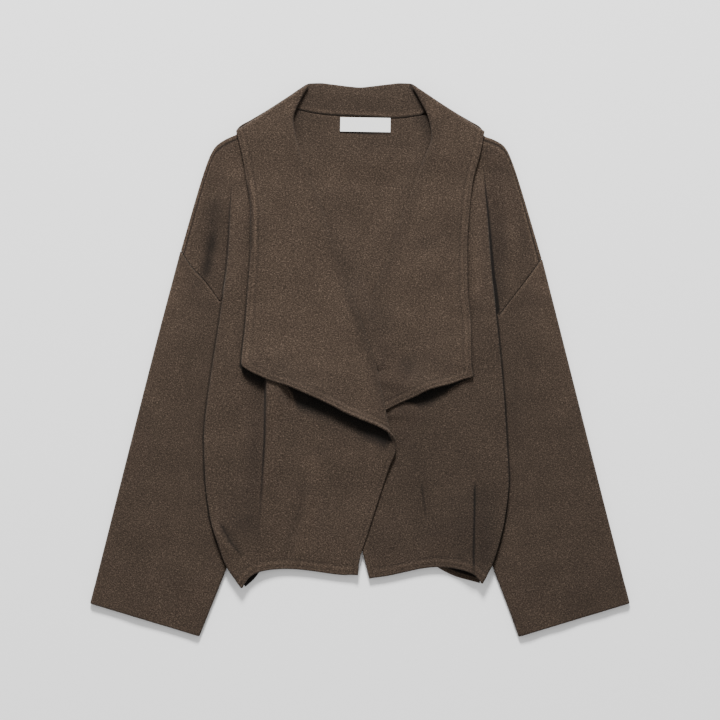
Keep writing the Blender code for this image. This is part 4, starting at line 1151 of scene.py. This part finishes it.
def collar():
    """The stand from the neck seam up, over the roll, and the fall behind the back."""
    columns = np.linspace(0, 1, 240)
    top, fall = along_outline(COLLAR_TOP, columns), along_outline(FALL_EDGE, columns)
    beyond = ease(np.abs(top[:, 0] + 3), 78, 100)
    foot_y = straight_through(along_outline(NECK, np.linspace(0, 1, 120)), top[:, 0]) + 0.1
    foot = np.column_stack([top[:, 0], foot_y * (1 - beyond) + (top[:, 1] - 3.2) * beyond])
    down = towards(top, fall)
    rise = STAND_RISE + (STAND_END_RISE - STAND_RISE) * beyond
    foot_height = (FLOOR + FALL_STACK) * (1 - beyond) + rise * beyond
    rows = [at_height(foot + (top - foot) * share, foot_height + lift * (1 - beyond) - 0.9 * share * beyond)
            for share, lift in STAND_ROWS]
    rows += [at_height(top + down * inset, FLOOR + (rise - FLOOR) * share) for inset, share in ROLL_ROWS]
    turned = top + down * ROLL_ROWS[-1][0]
    rows += [at_height(turned + (fall - turned) * share, FLOOR) for share in FALL_ROWS]
    middle = spline_surface(np.stack(rows, axis=1), COLLAR_PLACES).swapaxes(0, 1)
    from_neck = lengths_along(middle)
    by_roll = np.minimum(*[to_line(middle[..., 0], middle[..., 1], stretch(ROLLS[side], below=110))
                           for side in ("right", "left")])
    # Painted shadow beside the rolls; painted shade by the rolls and painted light above the neck seam.
    gap = np.where(middle[..., 0] > 0, (4.0 - by_roll) * 0.5, 0.7 - by_roll)
    piece = wall("collar", middle, np.dstack([lengths_along(middle, axis=1), from_neck]),
                 band=0.6 * ease(from_neck, 3.4, 2.6), seam=np.abs(from_neck - 1.1) * 0.6, depth=COLLAR_SHADOW_STRENGTH,
                 shadow=np.where(middle[..., 2] > FLOOR + 2.0, gap, -FAR),
                 shade=COLLAR_LIGHT_SHARE - 0.06 * hump(by_roll, 9) + 0.3 * hump(from_neck - 4.9, 1.7))
    dress(piece, "collar")


collar()

# ---------------------------------------------------------------------------------------------
# The label.  A bare white woven tape, sewn on flat below the neck seam.  Its fine threads cross,
# and its edges are softly rounded.
# ---------------------------------------------------------------------------------------------
LABEL_CENTRE = (6.7, 293.7)
LABEL_SIZE = (62.8, 17.8)
LABEL_THICKNESS = 0.6
LABEL_TILT = -0.018            # in radians
LABEL_RIPPLE = (0.15, 9.0)     # its height, and the length along the tape of one radian of its wave
LABEL_GAP = 0.7                # between the back's face and the middle of the tape
LABEL_WHITE = (0.78, 0.90)     # from the dips between the threads to their tops


def label_material():
    """White woven tape with fine cross threads."""
    material, tree, shader = new_material("woven_label")
    place = node(tree, "ShaderNodeUVMap", uv_map="knit").outputs[0]
    weft, warp = (node(tree, "ShaderNodeTexWave", {"Vector": place, "Scale": 420.0, "Distortion": 0.4},
                       bands_direction=way).outputs["Fac"] for way in "YX")
    weave = math_node(tree, "ADD", weft, warp)
    dip, top = LABEL_WHITE
    tone = node(tree, "ShaderNodeMapRange", {0: weave, 1: 0.0, 2: 2.0, 3: dip, 4: top}).outputs[0]
    yellower = math_node(tree, "MULTIPLY", tone, 0.985)
    colour = node(tree, "ShaderNodeCombineColor", {0: tone, 1: tone, 2: yellower})
    bump = node(tree, "ShaderNodeBump", {"Height": weave, "Distance": 0.1 * MM, "Strength": 0.6})
    connect(tree, shader, {"Base Color": colour.outputs[0], "Normal": bump.outputs[0], "Roughness": 0.7})
    return material


def label():
    """A thin flat tape, a little rippled along its length."""
    across = spread(0, 0.001, 0.003, 0.006, (0.012, 0.988, 60), 0.994, 0.997, 0.999, 1) - 0.5
    down = spread(0, 0.003, 0.01, 0.02, (0.04, 0.96, 24), 0.98, 0.99, 0.997, 1) - 0.5
    u, v = np.meshgrid(across * LABEL_SIZE[0], -down * LABEL_SIZE[1])
    x, y = LABEL_CENTRE[0] + u - v * LABEL_TILT, LABEL_CENTRE[1] + v + u * LABEL_TILT
    height = FLOOR + FALL_STACK + CLOTH / 2 + LABEL_GAP + LABEL_RIPPLE[0] * np.sin(u / LABEL_RIPPLE[1])
    piece = wall("label", np.dstack([x, y, height]), np.dstack([u + 50, v + 50]), half=LABEL_THICKNESS / 2,
                 material=label_material())
    dress(piece, "label")


label()

# ---------------------------------------------------------------------------------------------
# The stage.  A pale floor just under the garment, soft studio light from the collar's side, and
# a camera straight above.
# ---------------------------------------------------------------------------------------------
FLOOR_HALF, FLOOR_DROP = 4.0, 0.0005           # metres
LAMP_PLACE, LAMP_SIZE, LAMP_POWER = (-0.25, 4.0, 2.7), 1.1, 560
SKY_STRENGTH = 0.74
CAMERA_HEIGHT, CAMERA_LENS = 6.0, 240.0


def stage():
    """The floor, the light and the camera."""
    mesh = bpy.data.meshes.new("floor")
    corners = [(x * FLOOR_HALF, y * FLOOR_HALF, -FLOOR_DROP) for x, y in ((-1, -1), (1, -1), (1, 1), (-1, 1))]
    mesh.from_pydata(corners, [], [(0, 1, 2, 3)])
    pale, tree, shader = new_material("floor")
    connect(tree, shader, {"Base Color": (0.93, 0.93, 0.93, 1), "Roughness": 0.9})
    mesh.materials.append(pale)
    put_in_scene("floor", mesh)

    world = bpy.data.worlds.new("studio")
    bpy.context.scene.world = world
    world.use_nodes = True
    sky = world.node_tree.nodes["Background"]
    connect(world.node_tree, sky, {"Color": (1, 1, 1, 1), "Strength": SKY_STRENGTH})

    light = bpy.data.lights.new("key", "AREA")
    light.shape, light.size, light.energy = "SQUARE", LAMP_SIZE, LAMP_POWER
    lamp = put_in_scene("key", light)
    lamp.location = LAMP_PLACE
    lamp.rotation_euler = (-Vector(LAMP_PLACE)).to_track_quat("-Z", "Y").to_euler()

    data = bpy.data.cameras.new("camera")
    data.type, data.lens, data.sensor_width, data.clip_end = "PERSP", CAMERA_LENS, 36.0, 50
    camera = put_in_scene("camera", data)
    camera.location = (0, 0, CAMERA_HEIGHT)
    bpy.context.scene.camera = camera


stage()
